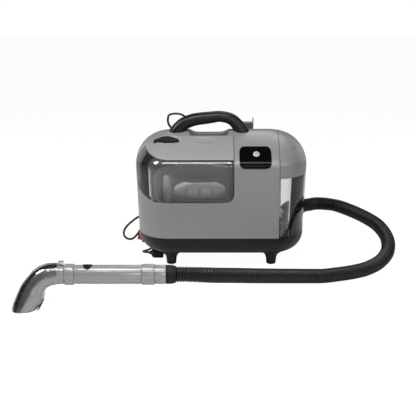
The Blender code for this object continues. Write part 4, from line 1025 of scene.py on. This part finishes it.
def ovalPost(halfX, halfY, low, high):
    outline = [(triggerAt + halfX * math.cos(a), tool["y"] + halfY * math.sin(a))
               for a in (2 * math.pi * k / 40 for k in range(40))]
    return pushed(outline, "z", low, high)


def makeWand():
    r, bore = tool["radius"], tool["bore"]
    tail = alongTool(-0.1217, [(bore, 0.0), (r, 0.0), (r, 0.0238), (bore, 0.0238)])
    rear = alongTool(-0.1458, [(bore, 0.0), (0.0213, 0.0), (0.0224, 0.0018), (0.0224, 0.0254),
                               (0.0213, 0.0272), (bore, 0.0272)], 0.0009)
    a = math.radians(-24)
    spot = Vector((-0.1560, tool["y"] - 0.0224 * math.cos(a), tool["z"] + 0.0224 * math.sin(a)))
    rear = cut(rear, turned([(0.0, -0.0014), (0.0012, -0.0014), (0.0014, 0.002), (0.0, 0.002)], spot,
                            (0, -math.cos(a), math.sin(a)), 20))
    wand = cut(alongTool(-0.1733, [(bore, 0.0), (r, 0.0), (r, 0.1426), (bore, 0.1426)]),
               ovalPost(0.0102, 0.0142, 0.080, 0.110))
    front = alongTool(-0.3162, [(bore, 0.0), (0.0214, 0.0), (0.0228, 0.0018), (0.0228, 0.0192),
                                (0.0216, 0.0205), (bore, 0.0205)], 0.0009)
    for item, name, stands in ((tail, "wandTail", "wand_tail_tube"), (rear, "rearCollar", "rear_collar"),
                               (wand, "wandTube", "wand_tube"), (front, "frontCollar", "front_collar")):
        finished(item, name, toolGrey, "machine", [stands])


def makeTrigger():
    post = ovalPost(0.0096, 0.0136, 0.0862, 0.110)
    barrel = rod(0.0214, 0.05, (-0.26, tool["y"], tool["z"]), (-1, 0, 0), 96)
    finished(keep(post, barrel), "sprayTrigger", gripBlack, "trigger",
             ["spray_trigger"])


def makeSpring():
    spring = {"low": 0.0731, "high": 0.0853, "radius": 0.0030, "wire": 0.0005, "turns": 5, "steps": 120}
    wire = bmesh.new()
    bmesh.ops.create_circle(wire, segments=10, radius=spring["wire"])
    bmesh.ops.rotate(wire, verts=wire.verts, matrix=Matrix.Rotation(math.pi / 2, 3, "X"))
    bmesh.ops.translate(wire, verts=wire.verts, vec=(spring["radius"], 0.0, 0.0))
    rise = (spring["high"] - spring["low"]) / spring["steps"]
    bmesh.ops.spin(wire, geom=wire.verts[:] + wire.edges[:], cent=(0, 0, 0), axis=(0, 0, 1),
                   dvec=(0, 0, rise), angle=2 * math.pi * spring["turns"], steps=spring["steps"])
    bmesh.ops.translate(wire, verts=wire.verts, vec=(triggerAt, tool["y"], spring["low"]))
    coil = finished(rough(closeUp(wire)), "triggerSpring", plainSteel, "machine",
                    ["trigger_spring"], 60)
    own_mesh(coil)


nozzleSpine = [
    # x, z, tilt, half height, half width
    (-0.3372, 0.0720, 0, 0.0195, 0.0195), (-0.3560, 0.0718, 0, 0.0208, 0.0215),
    (-0.3740, 0.0690, 12, 0.0222, 0.0250), (-0.3880, 0.0610, 28, 0.0228, 0.0290),
    (-0.3975, 0.0490, 46, 0.0235, 0.0335), (-0.4040, 0.0360, 58, 0.0262, 0.0380),
    (-0.4120, 0.0200, 66, 0.0262, 0.0415), (-0.4215, 0.0030, 72, 0.0240, 0.0440),
]


def nozzleSkin(growHigh, growWide, start=0.0, end=1.0):
    rows = nozzleSpine + [(-0.4265, -0.0110, 74, 0.0225, 0.0450)]

    def surface(u, v):
        x, z, tilt, high, wide = blendRows(rows, start + (end - start) * v)
        lean = math.radians(tilt)
        a = 2 * math.pi * u
        across = squared(math.cos(a), 0.77) * (wide + growWide)
        up = squared(math.sin(a), 0.77) * (high + growHigh)
        return (x - math.sin(lean) * up, tool["y"] + across, z + math.cos(lean) * up)

    return skin(surface, 64, 60)


def makeNozzle():
    under = ((-0.6, -0.6, -0.2), (-0.2, -0.2, 0.0005))
    shell = cut(nozzleSkin(0.0, 0.0), block(*under))
    shell = cut(shell, nozzleSkin(-0.0035, -0.0035, 0.72))
    finished(shell, "nozzleBody", toolGrey, "nozzle", ["nozzle_body"], 45)
    cover = nozzleSkin(0.0028, 0.0026, 0.10)
    inside = nozzleSkin(0.0006, 0.0006, 0.06)
    spine = [(x - high * math.sin(math.radians(tilt)) * 0.15, z + high * 0.10)
             for x, z, tilt, high, _ in nozzleSpine[1:]]
    back = pushed([(-0.350, spine[0][1])] + spine + [(-0.4290, -0.02), (-0.34, -0.02)], "y",
                  tool["y"] - 0.06, tool["y"] + 0.06)
    cover = cut(cover, inside, block(*under), back)
    for x, z, reach in ((-0.4300, 0.0370, 0.022), (-0.4215, 0.0560, 0.018)):
        cover = join(cover, block((x - 0.0035, tool["y"] - reach, z - 0.0008),
                                  (x + 0.0010, tool["y"] + reach, z + 0.0008), 0.0004))
    finished(cover, "nozzleCover", clearPlastic, "nozzle", ["nozzle_cover"], 45)
    latch = block((-0.3500, tool["y"] - 0.0060, 0.0944), (-0.3385, tool["y"] + 0.0060, 0.1010),
                  0.0016, 3)
    finished(latch, "coverLatch", plainSteel, "latch", ["nozzle_latch"])
    lip = pushed([(-0.3940, 0.0008), (-0.3920, 0.0008), (-0.3860, 0.0085), (-0.3880, 0.0085)], "y",
                 tool["y"] - 0.030, tool["y"] + 0.030, 0.0005)
    finished(lip, "squeegeeLip", dullRubber, "nozzle", ["squeegee_lip"])
    tip = turned([(0.0, 0.0), (0.0030, 0.0), (0.0030, 0.006), (0.0016, 0.009), (0.0, 0.009)],
                 (-0.4050, tool["y"], 0.0330), Vector((-0.4, 0, -0.91)).normalized(), 24)
    finished(tip, "sprayTip", gripBlack, "nozzle", ["spray_tip"])


for stage, make in (
    ("base", makeBase), ("casings", makeCasings), ("dirty tank", makeDirtyTank), ("lid", makeLid),
    ("stopper", makeStopper), ("inside the tank", makeTankInside), ("clean tank", makeCleanTank),
    ("cap", makeCap), ("handle", makeHandle), ("panel", makePanel), ("seam pin", makeDot),
    ("rocker", makeRocker), ("back", makeBack), ("elbow", makeElbow), ("wand", makeWand),
    ("trigger", makeTrigger), ("trigger spring", makeSpring), ("nozzle", makeNozzle),
):
    make()
    print(stage, "made")

carried = {
    "circuit_board": boardGreen, "exhaust_filter": filterFoam, "fan_housing": grainBlack,
    "fan_impeller": fanMetal, "motor_mount": dullRubber, "pump_inlet_tube": milkyPlastic,
    "pump_outlet_tube": milkyPlastic, "suction_duct": grainBlack, "vacuum_motor": plainSteel,
    "water_pump": grainBlack, "spray_valve": grainBlack,
}
for name, look in carried.items():
    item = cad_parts[name]
    item.data.materials.clear()
    item.data.materials.append(look)
print("carried nodes painted")
